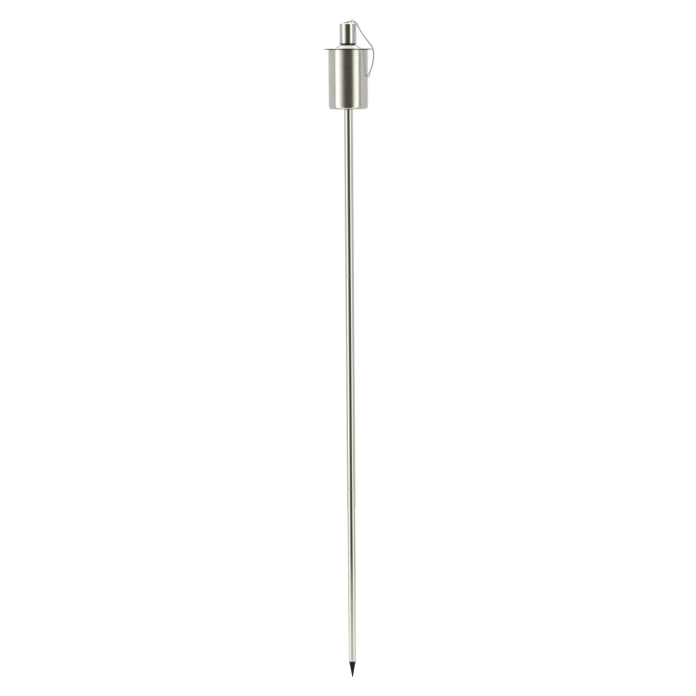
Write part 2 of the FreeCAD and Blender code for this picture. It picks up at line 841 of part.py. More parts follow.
def build():
    fill_sheet()
    bore = size("pole_radius") - size("pole_wall")
    pole_height = size("lower_length") + size("middle_length") + size("upper_length")
    canister_floor = size("spike_length") + pole_height
    rim = canister_floor + size("canister_height")
    seat = rim + size("plate_sheet") + size("boss_height")
    pieces = pole_pieces(bore) + head_pieces(bore, canister_floor)
    pieces += burner_pieces(canister_floor, seat) + cap_pieces(rim, seat)
    check_model(pieces)
    os.makedirs("parts", exist_ok=True)
    for piece in pieces:
        piece.Shape.exportStep("parts/%s.step" % piece.Label)
        print(piece.Label, "%.1f mm3" % piece.Shape.Volume)


build()
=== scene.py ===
"""Looks of a stainless garden oil torch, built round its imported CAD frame, in metres."""

import math

import bmesh
import bpy
from bpy.props import FloatProperty, FloatVectorProperty, IntProperty, PointerProperty
from mathutils import Matrix, Vector


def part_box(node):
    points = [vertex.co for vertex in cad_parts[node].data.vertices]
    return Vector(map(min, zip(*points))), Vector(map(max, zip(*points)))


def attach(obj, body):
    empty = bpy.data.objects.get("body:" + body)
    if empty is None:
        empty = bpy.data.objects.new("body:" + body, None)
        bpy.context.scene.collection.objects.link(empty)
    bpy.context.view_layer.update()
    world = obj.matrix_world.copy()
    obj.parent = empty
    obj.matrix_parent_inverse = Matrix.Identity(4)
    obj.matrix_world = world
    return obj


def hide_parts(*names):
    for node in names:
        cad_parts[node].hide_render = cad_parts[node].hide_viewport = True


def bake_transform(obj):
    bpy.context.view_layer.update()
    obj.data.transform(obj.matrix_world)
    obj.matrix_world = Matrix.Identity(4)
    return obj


bl_info = {
    "name": "Garden Oil Torch",
    "version": (1, 0, 0),
    "blender": (4, 5, 0),
    "location": "3D View > Sidebar > Torch",
    "description": "Builds the visible pieces of a stainless garden oil torch",
    "category": "Object",
}

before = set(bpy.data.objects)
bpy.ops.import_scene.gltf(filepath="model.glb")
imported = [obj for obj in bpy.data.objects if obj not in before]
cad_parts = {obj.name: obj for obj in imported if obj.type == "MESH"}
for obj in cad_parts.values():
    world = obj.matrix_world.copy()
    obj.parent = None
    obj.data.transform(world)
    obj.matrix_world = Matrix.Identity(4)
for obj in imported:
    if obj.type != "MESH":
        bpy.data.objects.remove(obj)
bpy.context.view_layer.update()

UP = Vector((0.0, 0.0, 1.0))
ON_AXIS = 1e-7
TUBE_SIDES = 128
WIDE_SIDES = 224
WIRE_SIDES = 14
ARC_STEPS = 8
RING_STEPS = 72
EYE_STEPS = 40
SHARP_ANGLE = math.radians(32)
MERGE_DISTANCE = 1e-6

# The chain's route from the cap ring to the anchor ring, in its own upright plane: distance from
# the pole's axis, and height above the cap's seat on the top plate.
CHAIN_ROUTE = (
    (0.0124, 0.0487),
    (0.0188, 0.0466),
    (0.0234, 0.0370),
    (0.0329, 0.0212),
    (0.0460, 0.0060),
    (0.0550, -0.0046),
    (0.0576, -0.0190),
    (0.0560, -0.0340),
    (0.0526, -0.0468),
    (0.0474, -0.0582),
)

# Light round the torch: turn from the front in degrees, brightness, warmth.
STUDIO_PANELS = (
    (-180, 0.14, 0.4),
    (-169, 0.16, 0.4),
    (-162, 0.95, 0.0),
    (-150, 0.90, 0.0),
    (-144, 0.58, 0.0),
    (-130, 0.60, 0.0),
    (-92, 0.64, 0.1),
    (-89, 0.56, 0.2),
    (-87, 0.14, 0.5),
    (-83, 0.12, 0.5),
    (-79, 1.45, 0.1),
    (-58, 1.50, 0.1),
    (-50, 1.10, 0.1),
    (-38, 0.58, 0.2),
    (-27, 0.20, 0.7),
    (-18, 0.075, 1.0),
    (19, 0.07, 1.0),
    (26, 0.16, 0.8),
    (37, 1.25, 0.3),
    (61, 1.45, 0.2),
    (66, 0.20, 0.5),
    (73, 0.14, 0.5),
    (79, 0.70, 0.1),
    (100, 0.62, 0.1),
    (130, 0.60, 0.0),
    (144, 0.58, 0.0),
    (150, 0.90, 0.0),
    (162, 0.95, 0.0),
    (169, 0.16, 0.4),
    (180, 0.14, 0.4),
)
BRIGHTEST_PANEL = 1.6
WARM_GREEN_LOSS = 0.08
WARM_BLUE_LOSS = 0.36


def middle(node):
    """Middle of a CAD node's box."""
    low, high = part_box(node)
    return (low + high) / 2


def foot(node):
    """Height of a CAD node's lowest point."""
    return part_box(node)[0].z


def top(node):
    """Height of a CAD node's highest point."""
    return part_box(node)[1].z


def widest(node, low=-math.inf, high=math.inf):
    """Largest distance from the pole's axis of a CAD node between two heights."""
    points = [vertex.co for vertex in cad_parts[node].data.vertices]
    return max(point.xy.length for point in points if low <= point.z <= high)


def narrowest(node, low=-math.inf, high=math.inf):
    """Smallest distance from the pole's axis of a CAD node between two heights."""
    points = [vertex.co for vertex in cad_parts[node].data.vertices]
    return min(point.xy.length for point in points if low <= point.z <= high)


def length_size(name, description, default):
    """A size in metres that a user can change."""
    return FloatProperty(name=name, description=description, default=default, min=0.0,
                         precision=5, unit="LENGTH")


def colour_of(name, description, default):
    """A colour that a user can change."""
    return FloatVectorProperty(name=name, description=description, default=default, size=3,
                               min=0.0, max=1.0, subtype="COLOR")


class TorchSizes(bpy.types.PropertyGroup):
    """Details finer than the CAD frame's."""

    edge_round: length_size("Edge rounding", "Rounding of cut sheet edges", 0.0002)
    spike_tip: length_size("Spike tip", "Radius of the spike's blunt tip", 0.0011)
    pole_wall: length_size("Pole wall", "Wall of the pole sections", 0.0006)
    foot_roll: length_size("Foot roll", "Rounding of the pole's rolled-in foot", 0.00075)
    canister_wall: length_size("Canister wall", "Sheet of the canister", 0.0007)
    canister_corner: length_size("Canister corner", "Rounding of the canister's floor", 0.0056)
    plate_sheet: length_size("Plate sheet", "Sheet of the top plate", 0.0008)
    hem_height: length_size("Hem height", "Thickness of the plate's folded hem", 0.0017)
    hem_width: length_size("Hem width", "Width of the plate's folded hem", 0.0026)
    skirt_depth: length_size("Skirt depth", "Ring under the plate, inside the canister", 0.004)
    boss_margin: length_size("Boss margin", "Raised middle's top edge beyond the cap", 0.00065)
    boss_slope: length_size("Boss slope", "Width of the raised middle's side", 0.0106)
    boss_round: length_size("Boss rounding", "Rounding of the raised middle's top edge", 0.003)
    boss_foot_round: length_size("Boss foot rounding", "Rounding under the raised middle",
                                 0.007)
    cap_sheet: length_size("Cap sheet", "Sheet of the snuffer cap", 0.0006)
    cap_crown: length_size("Cap crown", "Rounding of the cap's top edge", 0.0016)
    cap_curl: length_size("Cap curl", "Rounding of the cap's lip", 0.00145)
    thread_pitch: length_size("Thread pitch", "Pitch of the filler neck's thread", 0.0016)
    thread_depth: length_size("Thread depth", "Depth of the filler neck's thread", 0.0005)
    ring_lip: length_size("Screw ring lip", "Thickness of the screw ring's lip", 0.0012)
    knurl_depth: length_size("Knurl depth", "Depth of the screw ring's knurls", 0.00033)
    knurl_count: IntProperty(name="Knurls", description="Knurls round the screw ring",
                             default=28, min=6, max=90)
    braid_depth: length_size("Braid depth", "Relief of the wick's braid", 0.00035)
    braid_count: IntProperty(name="Braid strands", description="Strands each way round the wick",
                             default=10, min=4, max=40)
    tab_width: length_size("Tab width", "Width of the swivel tab", 0.0066)
    tab_sheet: length_size("Tab sheet", "Thickness of the swivel tab", 0.0011)
    tab_short_end: length_size("Tab short end", "Rivet to the tab's free end", 0.0105)
    tab_long_end: length_size("Tab long end", "Rivet to the tab's ring end", 0.0086)
    tab_hole: length_size("Tab hole", "Radius of the hole over the rivet", 0.0017)
    tab_ring_hole: length_size("Ring hole place", "Rivet to the hole for the cap ring", 0.0064)
    tab_ring_hole_radius: length_size("Ring hole", "Radius of the hole for the ring", 0.00115)
    tab_tilt: FloatProperty(name="Tab tilt", description="Slope of the tab up to its ring",
                            default=math.radians(8), subtype="ANGLE")
    cap_ring_wire: length_size("Cap ring wire", "Radius of the cap ring's wire", 0.00055)
    anchor_ring_wire: length_size("Anchor ring wire", "Radius of the anchor ring's wire", 0.0005)
    eye_wire: length_size("Eye wire", "Radius of the wall eye's wire", 0.0007)
    eye_loop: length_size("Eye loop", "Radius of the wall eye's loop", 0.003)
    eye_pad: length_size("Eye pad", "Radius of the wall eye's pad", 0.0042)
    eye_pad_sheet: length_size("Eye pad sheet", "Thickness of the wall eye's pad", 0.001)
    link_wire: length_size("Link wire", "Radius of the chain links' wire", 0.00045)
    link_width: length_size("Link width", "Outside width of a chain link", 0.0031)
    link_pitch: length_size("Link pitch", "Chain taken up by each link", 0.00305)


class TorchColours(bpy.types.PropertyGroup):
    """Colours of the torch's finishes."""

    steel: colour_of("Steel", "Stainless sheet and tube", (0.775, 0.78, 0.745))
    plate_steel: colour_of("Plate steel", "Top plate", (0.655, 0.66, 0.63))
    cap_steel: colour_of("Cap steel", "Polished snuffer cap", (0.80, 0.79, 0.77))
    chain_steel: colour_of("Chain steel", "Chain and its rings", (0.09, 0.088, 0.083))
    tab_steel: colour_of("Tab steel", "Darkened swivel tab", (0.03, 0.029, 0.028))
    smudge: colour_of("Smudge", "Handled and weathered steel", (0.52, 0.50, 0.46))
    plastic: colour_of("Plastic", "Moulded ground spike", (0.009, 0.009, 0.0095))
    scuff: colour_of("Scuff", "Rubbed plastic", (0.05, 0.05, 0.05))
    neck_steel: colour_of("Neck steel", "Filler neck and screw ring", (0.60, 0.59, 0.565))
    rubber: colour_of("Rubber", "Neck gasket", (0.016, 0.016, 0.017))
    wick: colour_of("Wick", "Glass-fibre braid", (0.86, 0.84, 0.77))
    wick_shadow: colour_of("Wick gaps", "Between the braid's strands", (0.42, 0.39, 0.31))
    # Painted shade: a dark colour laid into seams and gaps where shade falls.
    seam_shade_colour: colour_of("Seam shade", "Painted shade in seams and gaps", (0.07, 0.066, 0.058))
    dust: colour_of("Dust", "Fine settled dust", (0.50, 0.47, 0.42))
    floor_mirrored: colour_of("Mirrored floor", "Floor as the steel mirrors it",
                              (1.0, 0.96, 0.82))
    floor: colour_of("Floor", "Pale studio floor", (0.70, 0.70, 0.70))


class TorchStage(bpy.types.PropertyGroup):
    """Camera, floor and light."""

    camera_across: FloatProperty(name="Camera across", description="Camera's place on X",
                                 default=-0.0048, unit="LENGTH")
    camera_distance: FloatProperty(name="Camera distance", description="Camera's distance in front",
                                   default=2.92, unit="LENGTH")
    camera_height: FloatProperty(name="Camera height", description="Camera above the floor",
                                 default=1.36, unit="LENGTH")
    camera_tilt: FloatProperty(name="Camera tilt", description="How far the camera looks down",
                               default=math.radians(11.33), subtype="ANGLE")
    camera_roll: FloatProperty(name="Camera roll", description="Camera's turn on its own axis",
                               default=math.radians(-0.43), subtype="ANGLE")
    camera_lens: FloatProperty(name="Lens", description="Focal length in millimetres",
                               default=70.15, min=1.0)
    floor_radius: length_size("Floor radius", "Radius of the pale floor", 1.25)
    overhead_light: FloatProperty(name="Overhead light", description="Brightness from above",
                                  default=1.6, min=0.0)
    back_light: FloatProperty(name="Back light", description="Brightness from behind, up high",
                              default=0.95, min=0.0)
    backdrop: FloatProperty(name="Backdrop", description="Brightness of the backdrop itself",
                            default=1.02, min=0.0)
    floor_glow: FloatProperty(name="Floor glow", description="Lift of the floor to the backdrop",
                              default=0.6, min=0.0)


# Outlines and meshes


def softened(corners, closed=False):
    """Outline points from corners (out, up) or (out, up, rounding), with the roundings as arcs."""
    points = []
    for index, corner_data in enumerate(corners):
        corner = Vector(corner_data[:2])
        rounding = corner_data[2] if len(corner_data) > 2 else 0.0
        end_point = not closed and index in (0, len(corners) - 1)
        if not rounding or end_point:
            points.append(corner)
            continue
        back = (Vector(corners[index - 1][:2]) - corner).normalized()
        ahead = (Vector(corners[(index + 1) % len(corners)][:2]) - corner).normalized()
        half_angle = back.angle(ahead) / 2
        centre = corner + (back + ahead).normalized() * rounding / math.sin(half_angle)
        first = corner + back * rounding / math.tan(half_angle) - centre
        last = corner + ahead * rounding / math.tan(half_angle) - centre
        swept = math.atan2(first.cross(last), first.dot(last))
        for step in range(ARC_STEPS + 1):
            turn = swept * step / ARC_STEPS
            points.append(centre + Matrix.Rotation(turn, 2) @ first)
    return points


def turned(outline, sides, closed=False, relief=None):
    """Mesh of an outline turned round the pole's axis; relief(out, up, turn) adds to out."""
    shape = bmesh.new()
    rings = []
    for out, up in outline:
        ring = []
        for side in range(1 if out < ON_AXIS else sides):
            turn = math.tau * side / sides
            far = out + (relief(out, up, turn) if relief and out >= ON_AXIS else 0.0)
            ring.append(shape.verts.new((far * math.cos(turn), far * math.sin(turn), up)))
        rings.append(ring)
    pairs = list(zip(rings, rings[1:]))
    if closed:
        pairs.append((rings[-1], rings[0]))
    for lower, upper in pairs:
        for side in range(sides):
            after = (side + 1) % sides
            corners = []
            for ring, place in ((lower, side), (lower, after), (upper, after), (upper, side)):
                corner = ring[place % len(ring)]
                if corner not in corners:
                    corners.append(corner)
            if len(corners) > 2:
                shape.faces.new(corners)
    return shape


def add_wire(shape, line, normal, radius, closed):
    """Adds round wire along a flat line of points whose plane has that normal."""
    rings = []
    for index, point in enumerate(line):
        if closed:
            along = line[(index + 1) % len(line)] - line[index - 1]
        else:
            along = line[min(index + 1, len(line) - 1)] - line[max(index - 1, 0)]
        side = along.cross(normal).normalized()
        ring = []
        for step in range(WIRE_SIDES):
            turn = math.tau * step / WIRE_SIDES
            offset = side * math.cos(turn) + normal * math.sin(turn)
            ring.append(shape.verts.new(point + offset * radius))
        rings.append(ring)
    pairs = list(zip(rings, rings[1:]))
    if closed:
        pairs.append((rings[-1], rings[0]))
    else:
        shape.faces.new(rings[0])
        shape.faces.new(rings[-1])
    for lower, upper in pairs:
        for step in range(WIRE_SIDES):
            after = (step + 1) % WIRE_SIDES
            shape.faces.new((lower[step], lower[after], upper[after], upper[step]))


def arc_line(centre, first, second, radius, start, end, steps):
    """Points of an arc in the plane of two directions, between two angles."""
    points = []
    for step in range(steps + 1):
        turn = start + (end - start) * step / steps
        points.append(centre + (first * math.cos(turn) + second * math.sin(turn)) * radius)
    return points


def add_piece(name, shape, body, finish, slot, *nodes):
    """Puts a mesh in the scene, riding on a body and standing for CAD nodes."""
    bmesh.ops.recalc_face_normals(shape, faces=shape.faces)
    mesh = bpy.data.meshes.new(name)
    shape.to_mesh(mesh)
    shape.free()
    mesh.shade_smooth()
    mesh.set_sharp_from_angle(angle=SHARP_ANGLE)
    mesh.materials.append(bpy.data.materials[finish])
    piece = bpy.data.objects.new(name, mesh)
    bpy.context.scene.collection.objects.link(piece)
    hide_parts(*nodes)
    if body:
        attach(piece, body)
    return piece


def add_turned(name, corners, body, finish, slot, node, sides=TUBE_SIDES, closed=True,
               relief=None):
    """Adds a piece whose outline, rounded at its corners, is turned round the pole's axis."""
    shape = turned(softened(corners, closed=closed), sides, closed=closed, relief=relief)
    add_piece(name, shape, body, finish, slot, node)


# Node graphs


class Graph:
    """Short calls that add and join the nodes of one node tree."""

    def __init__(self, tree):
        self.tree = tree

    def feed(self, socket, value):
        """Joins a socket to another one, or sets its value."""
        if isinstance(value, bpy.types.NodeSocket):
            self.tree.links.new(value, socket)
        else:
            socket.default_value = value

    def add(self, kind, inputs=None, **settings):
        """Adds a node, with its settings and the inputs given by name."""
        node = self.tree.nodes.new(kind)
        for name, value in settings.items():
            setattr(node, name, value)
        for name, value in (inputs or {}).items():
            self.feed(node.inputs[name], value)
        return node

    def math(self, operation, *values):
        """One Math node's result."""
        node = self.add("ShaderNodeMath", operation=operation)
        for socket, value in zip(node.inputs, values):
            self.feed(socket, value)
        return node.outputs[0]

    def share(self, value, part):
        """A part of a value."""
        return self.math("MULTIPLY", value, part)

    def raised(self, base, value, by):
        """A base plus a part of a value."""
        return self.math("MULTIPLY_ADD", value, by, base)

    def scaled(self, vector, factors):
        """A vector multiplied part by part."""
        node = self.add("ShaderNodeVectorMath", operation="MULTIPLY")
        self.feed(node.inputs[0], vector)
        self.feed(node.inputs[1], factors)
        return node.outputs[0]

    def turned(self, vector, rotation):
        """A vector turned by fixed angles."""
        node = self.add("ShaderNodeMapping")
        self.feed(node.inputs["Vector"], vector)
        node.inputs["Rotation"].default_value = rotation
        return node.outputs[0]

    def part(self, vector, axis):
        """One part of a vector."""
        return self.add("ShaderNodeSeparateXYZ", {"Vector": vector}).outputs[axis]

    def spread(self, value, low, high, to_low=0.0, to_high=1.0):
        """A value's range stretched smoothly to another one."""
        node = self.add("ShaderNodeMapRange", interpolation_type="SMOOTHSTEP")
        for name, given in (("Value", value), ("From Min", low), ("From Max", high),
                            ("To Min", to_low), ("To Max", to_high)):
            self.feed(node.inputs[name], given)
        return node.outputs[0]

    def noise(self, vector, scale, detail=3.0, roughness=0.55, distortion=0.0):
        """Noise, from 0 to 1."""
        node = self.add("ShaderNodeTexNoise", {
            "Vector": vector, "Scale": scale, "Detail": detail,
            "Roughness": roughness, "Distortion": distortion,
        })
        return node.outputs[0]

    def blend(self, factor, first, second):
        """Two colours mixed."""
        node = self.add("ShaderNodeMix", data_type="RGBA")
        for place, value in ((0, factor), (6, first), (7, second)):
            self.feed(node.inputs[place], value)
        return node.outputs[2]

    def effect(self, group, **inputs):
        """A shared effect's results, from its inputs by name."""
        node = self.add("ShaderNodeGroup", node_tree=bpy.data.node_groups[group])
        for name, value in inputs.items():
            self.feed(node.inputs[name], value)
        return node.outputs


def new_effect(name, inputs, outputs):
    """An empty node group with named sockets; gives its graph, inputs and result sockets."""
    tree = bpy.data.node_groups.new(name, "ShaderNodeTree")
    for socket_name, kind in inputs:
        tree.interface.new_socket(socket_name, in_out="INPUT", socket_type=kind)
    for socket_name in outputs:
        tree.interface.new_socket(socket_name, in_out="OUTPUT", socket_type="NodeSocketFloat")
    given = tree.nodes.new("NodeGroupInput").outputs
    results = tree.nodes.new("NodeGroupOutput").inputs
    return Graph(tree), given, results


VECTOR = "NodeSocketVector"
NUMBER = "NodeSocketFloat"
BAND_SOCKETS = (("Surface", VECTOR), ("Height", NUMBER), ("Width", NUMBER))


def brushed_grain_effect():
    """Fine lines, long in the direction of the smallest fineness."""
    graph, given, results = new_effect(
        "Brushed grain", (("Surface", VECTOR), ("Fineness", VECTOR)), ("Height", "Shade"))
    finer = 2.7
    broad_share, fine_share = 0.6, 0.4
    stretched = graph.scaled(given["Surface"], given["Fineness"])
    broad = graph.noise(stretched, 1.0, detail=4.0, roughness=0.62)
    fine = graph.noise(graph.scaled(stretched, (finer, finer, finer)), 1.0, detail=2.0)
    height = graph.raised(graph.share(fine, fine_share), broad, by=broad_share)
    graph.feed(results["Height"], height)
    graph.feed(results["Shade"], graph.spread(height, low=0.36, high=0.64))


def handling_marks_effect():
    """Hazy patches from hands, and the rims of dried drops."""
    graph, given, results = new_effect(
        "Handling marks", (("Surface", VECTOR), ("Fineness", NUMBER)), ("Mask",))
    drop_fineness = 7.0
    rim_place, rim_width, rim_strength = 0.22, 0.05, 0.6
    surface, fineness = given["Surface"], given["Fineness"]
    clouds = graph.noise(surface, fineness, detail=5.0, roughness=0.6, distortion=0.5)
    patches = graph.spread(clouds, low=0.5, high=0.72)
    drops = graph.add("ShaderNodeTexVoronoi", {
        "Vector": surface, "Scale": graph.share(fineness, drop_fineness)})
    past_rim = graph.math("SUBTRACT", drops.outputs["Distance"], rim_place)
    rims = graph.spread(graph.math("ABSOLUTE", past_rim), low=0.0, high=rim_width,
                        to_low=1.0, to_high=0.0)
    where = graph.spread(graph.noise(surface, fineness, detail=1.0), low=0.55, high=0.65)
    rims = graph.share(graph.math("MULTIPLY", rims, where), rim_strength)
    graph.feed(results["Mask"], graph.math("MAXIMUM", patches, rims))


def fine_scratches_effect():
    """Sparse hairlines in two directions."""
    graph, given, results = new_effect(
        "Fine scratches", (("Surface", VECTOR), ("Fineness", NUMBER)), ("Mask",))
    stretch = (1.0, 1.0, 0.03)
    found = []
    for tilt in ((0.5, 0.3, 0.9), (-0.7, 0.4, -0.5)):
        laid = graph.scaled(graph.turned(given["Surface"], tilt), stretch)
        lines = graph.noise(laid, given["Fineness"], detail=2.0, roughness=0.5)
        found.append(graph.spread(lines, low=0.69, high=0.74))
    graph.feed(results["Mask"], graph.math("MAXIMUM", *found))


def away_from_height(graph, given):
    """How far the surface is above or below a band's height."""
    height = graph.part(given["Surface"], "Z")
    return graph.math("ABSOLUTE", graph.math("SUBTRACT", height, given["Height"]))


def rubbed_band_effect():
    """Wear round the pole's axis, near one height."""
    graph, given, results = new_effect("Rubbed band", BAND_SOCKETS, ("Mask",))
    reach = graph.math("DIVIDE", away_from_height(graph, given), given["Width"])
    near = graph.spread(reach, low=0.0, high=1.0, to_low=1.0, to_high=0.0)
    wear = graph.noise(given["Surface"], scale=900.0, detail=4.0, roughness=0.6)
    broken = graph.spread(wear, low=0.35, high=0.6)
    graph.feed(results["Mask"], graph.math("MULTIPLY", near, broken))


def painted_seam_shade_effect():
    """Painted shade round the pole's axis, thinning away from one height."""
    graph, given, results = new_effect("Painted seam shade", BAND_SOCKETS, ("Mask",))
    least_width, added_width, full_shade = 0.6, 0.8, 0.95
    clouds = graph.noise(given["Surface"], scale=260.0, detail=4.0, roughness=0.6)
    uneven = graph.raised(least_width, clouds, by=added_width)
    width = graph.math("MULTIPLY", given["Width"], uneven)
    reach = graph.math("DIVIDE", away_from_height(graph, given), width)
    graph.feed(results["Mask"], graph.spread(reach, low=0.35, high=1.0, to_low=full_shade,
                                             to_high=0.0))


def settled_dust_effect():
    """Dust on whatever faces up."""
    graph, given, results = new_effect("Settled dust", (("Surface", VECTOR),), ("Mask",))
    facing = graph.part(graph.add("ShaderNodeNewGeometry").outputs["Normal"], "Z")
    upward = graph.spread(facing, low=0.5, high=1.0)
    specks = graph.noise(given["Surface"], scale=1400.0, detail=6.0, roughness=0.7)
    drifts = graph.noise(given["Surface"], scale=60.0)
    lying = graph.math("MULTIPLY", graph.spread(specks, low=0.45, high=0.75),
                       graph.spread(drifts, low=0.35, high=0.7))
    graph.feed(results["Mask"], graph.math("MULTIPLY", upward, lying))


def new_finish(name, colour, **constants):
    """A material with its graph, its shader node and the surface coordinates."""
    finish = bpy.data.materials.new(name)
    finish.use_nodes = True
    finish.diffuse_color = (*colour, 1.0)
    graph = Graph(finish.node_tree)
    shader = finish.node_tree.nodes["Principled BSDF"]
    for socket, value in constants.items():
        shader.inputs[socket.replace("_", " ")].default_value = value
    surface = graph.add("ShaderNodeTexCoord").outputs["Object"]
    return finish, graph, shader, surface


def rgba(colour):
    """A colour property as a socket's value."""
    return (*colour, 1.0)


def roughen(graph, shader, relief, depth):
    """Gives a shader fine relief, up to a depth in metres."""
    bump = graph.add("ShaderNodeBump", {"Height": relief, "Distance": depth})
    graph.feed(shader.inputs["Normal"], bump.outputs[0])


def steel_finish(name, colour, fineness, roughness, grain_depth, haze, dust=0.25, rubbed=(),
                 painted_shade_bands=()):
    """Brushed or drawn stainless steel."""
    _finish, graph, shader, surface = new_finish(name, colour, Metallic=1.0)
    colours = bpy.context.scene.torch_colours
    mark_fineness, scratch_fineness = 34.0, 520.0
    rub_width, rub_strength, streak_strength = 0.0025, 0.6, 0.16
    smooth_part, grain_part = 0.75, 0.5
    grain = graph.effect("Brushed grain", Surface=surface, Fineness=fineness)
    marks = graph.effect("Handling marks", Surface=surface, Fineness=mark_fineness)["Mask"]
    scratches = graph.effect("Fine scratches", Surface=surface,
                             Fineness=scratch_fineness)["Mask"]
    settled = graph.effect("Settled dust", Surface=surface)["Mask"]
    hazy = graph.share(marks, haze)
    for height in rubbed:
        band = graph.effect("Rubbed band", Surface=surface, Height=height,
                            Width=rub_width)["Mask"]
        hazy = graph.math("MAXIMUM", hazy, graph.share(band, rub_strength))
    streaked = graph.blend(graph.share(grain["Shade"], streak_strength), rgba(colour),
                           rgba(colours.smudge))
    hazed = graph.blend(hazy, streaked, rgba(colours.smudge))
    shade = graph.share(settled, dust)
    coloured = graph.blend(shade, hazed, rgba(colours.dust))
    # Painted shade: near each given height the colour darkens towards the seam shade colour.
    for height, width in painted_shade_bands:
        seam = graph.effect("Painted seam shade", Surface=surface, Height=height, Width=width)["Mask"]
        coloured = graph.blend(seam, coloured, rgba(colours.seam_shade_colour))
    graph.feed(shader.inputs["Base Color"], coloured)
    rough = graph.raised(roughness * smooth_part, grain["Shade"], by=roughness * grain_part)
    rough = graph.raised(rough, hazy, by=0.16)
    rough = graph.raised(rough, scratches, by=0.10)
    graph.feed(shader.inputs["Roughness"], graph.raised(rough, shade, by=0.5))
    roughen(graph, shader, graph.raised(grain["Height"], scratches, by=-0.7), grain_depth)


def plastic_finish():
    """Black moulded plastic with a fine cast grain, scuffed towards its tip."""
    colours = bpy.context.scene.torch_colours
    _finish, graph, shader, surface = new_finish("Moulded plastic", colours.plastic,
                                                 Specular_IOR_Level=0.12)
    scuff_width, scratch_share, scuff_share = 0.016, 0.5, 0.4
    least_rough, relief_depth = 0.40, 0.00003
    cast = graph.noise(surface, scale=2600.0, detail=4.0, roughness=0.6)
    scratches = graph.effect("Fine scratches", Surface=surface, Fineness=700.0)["Mask"]
    tip = graph.effect("Rubbed band", Surface=surface, Height=foot("ground_spike"),
                       Width=scuff_width)["Mask"]
    worn = graph.math("MAXIMUM", graph.share(scratches, scratch_share),
                      graph.share(tip, scuff_share))
    graph.feed(shader.inputs["Base Color"],
               graph.blend(worn, rgba(colours.plastic), rgba(colours.scuff)))
    rough = graph.raised(least_rough, cast, by=0.16)
    graph.feed(shader.inputs["Roughness"], graph.raised(rough, worn, by=0.2))
    roughen(graph, shader, graph.raised(cast, scratches, by=-1.5), relief_depth)


def rubber_finish():
    """Matt black rubber with a powdery bloom."""
    colours = bpy.context.scene.torch_colours
    _finish, graph, shader, surface = new_finish("Seal rubber", colours.rubber)
    bloom_share, least_rough, relief_depth = 0.3, 0.62, 0.00003
    powder = graph.noise(surface, scale=420.0, detail=6.0, roughness=0.7)
    bloom = graph.spread(powder, low=0.5, high=0.8)
    graph.feed(shader.inputs["Base Color"], graph.blend(
        graph.share(bloom, bloom_share), rgba(colours.rubber), rgba(colours.scuff)))
    graph.feed(shader.inputs["Roughness"], graph.raised(least_rough, bloom, by=0.2))
    roughen(graph, shader, bloom, relief_depth)


def wick_finish():
    """White glass-fibre braid, with painted shade between its strands."""
    colours = bpy.context.scene.torch_colours
    _finish, graph, shader, surface = new_finish("Glass-fibre braid", colours.wick,
                                                 Sheen_Weight=0.35)
    climb_rate, yarns_per_strand, gap_share = 1100.0, 6.0, 0.7
    least_rough, relief_depth = 0.7, 0.0001
    place = graph.add("ShaderNodeSeparateXYZ", {"Vector": surface}).outputs
    turn = graph.math("ARCTAN2", place["Y"], place["X"])
    yarns = bpy.context.scene.torch_sizes.braid_count * yarns_per_strand
    climb = graph.share(place["Z"], climb_rate)
    yarn = graph.math("SINE", graph.raised(climb, turn, by=yarns))
    fuzz = graph.noise(surface, scale=3200.0, detail=4.0, roughness=0.7)
    # Painted shade: the braid's colour greys between the strands.
    gaps = graph.spread(graph.raised(fuzz, yarn, by=0.3), low=0.2, high=0.75,
                        to_low=1.0, to_high=0.0)
    graph.feed(shader.inputs["Base Color"], graph.blend(
        graph.share(gaps, gap_share), rgba(colours.wick), rgba(colours.wick_shadow)))
    graph.feed(shader.inputs["Roughness"], graph.raised(least_rough, fuzz, by=0.2))
    roughen(graph, shader, graph.raised(fuzz, yarn, by=0.4), relief_depth)


LENGTHWISE = (2600.0, 2600.0, 9.0)
ROUND = (16.0, 16.0, 3800.0)
ROUND_FLAT = (420.0, 420.0, 3800.0)


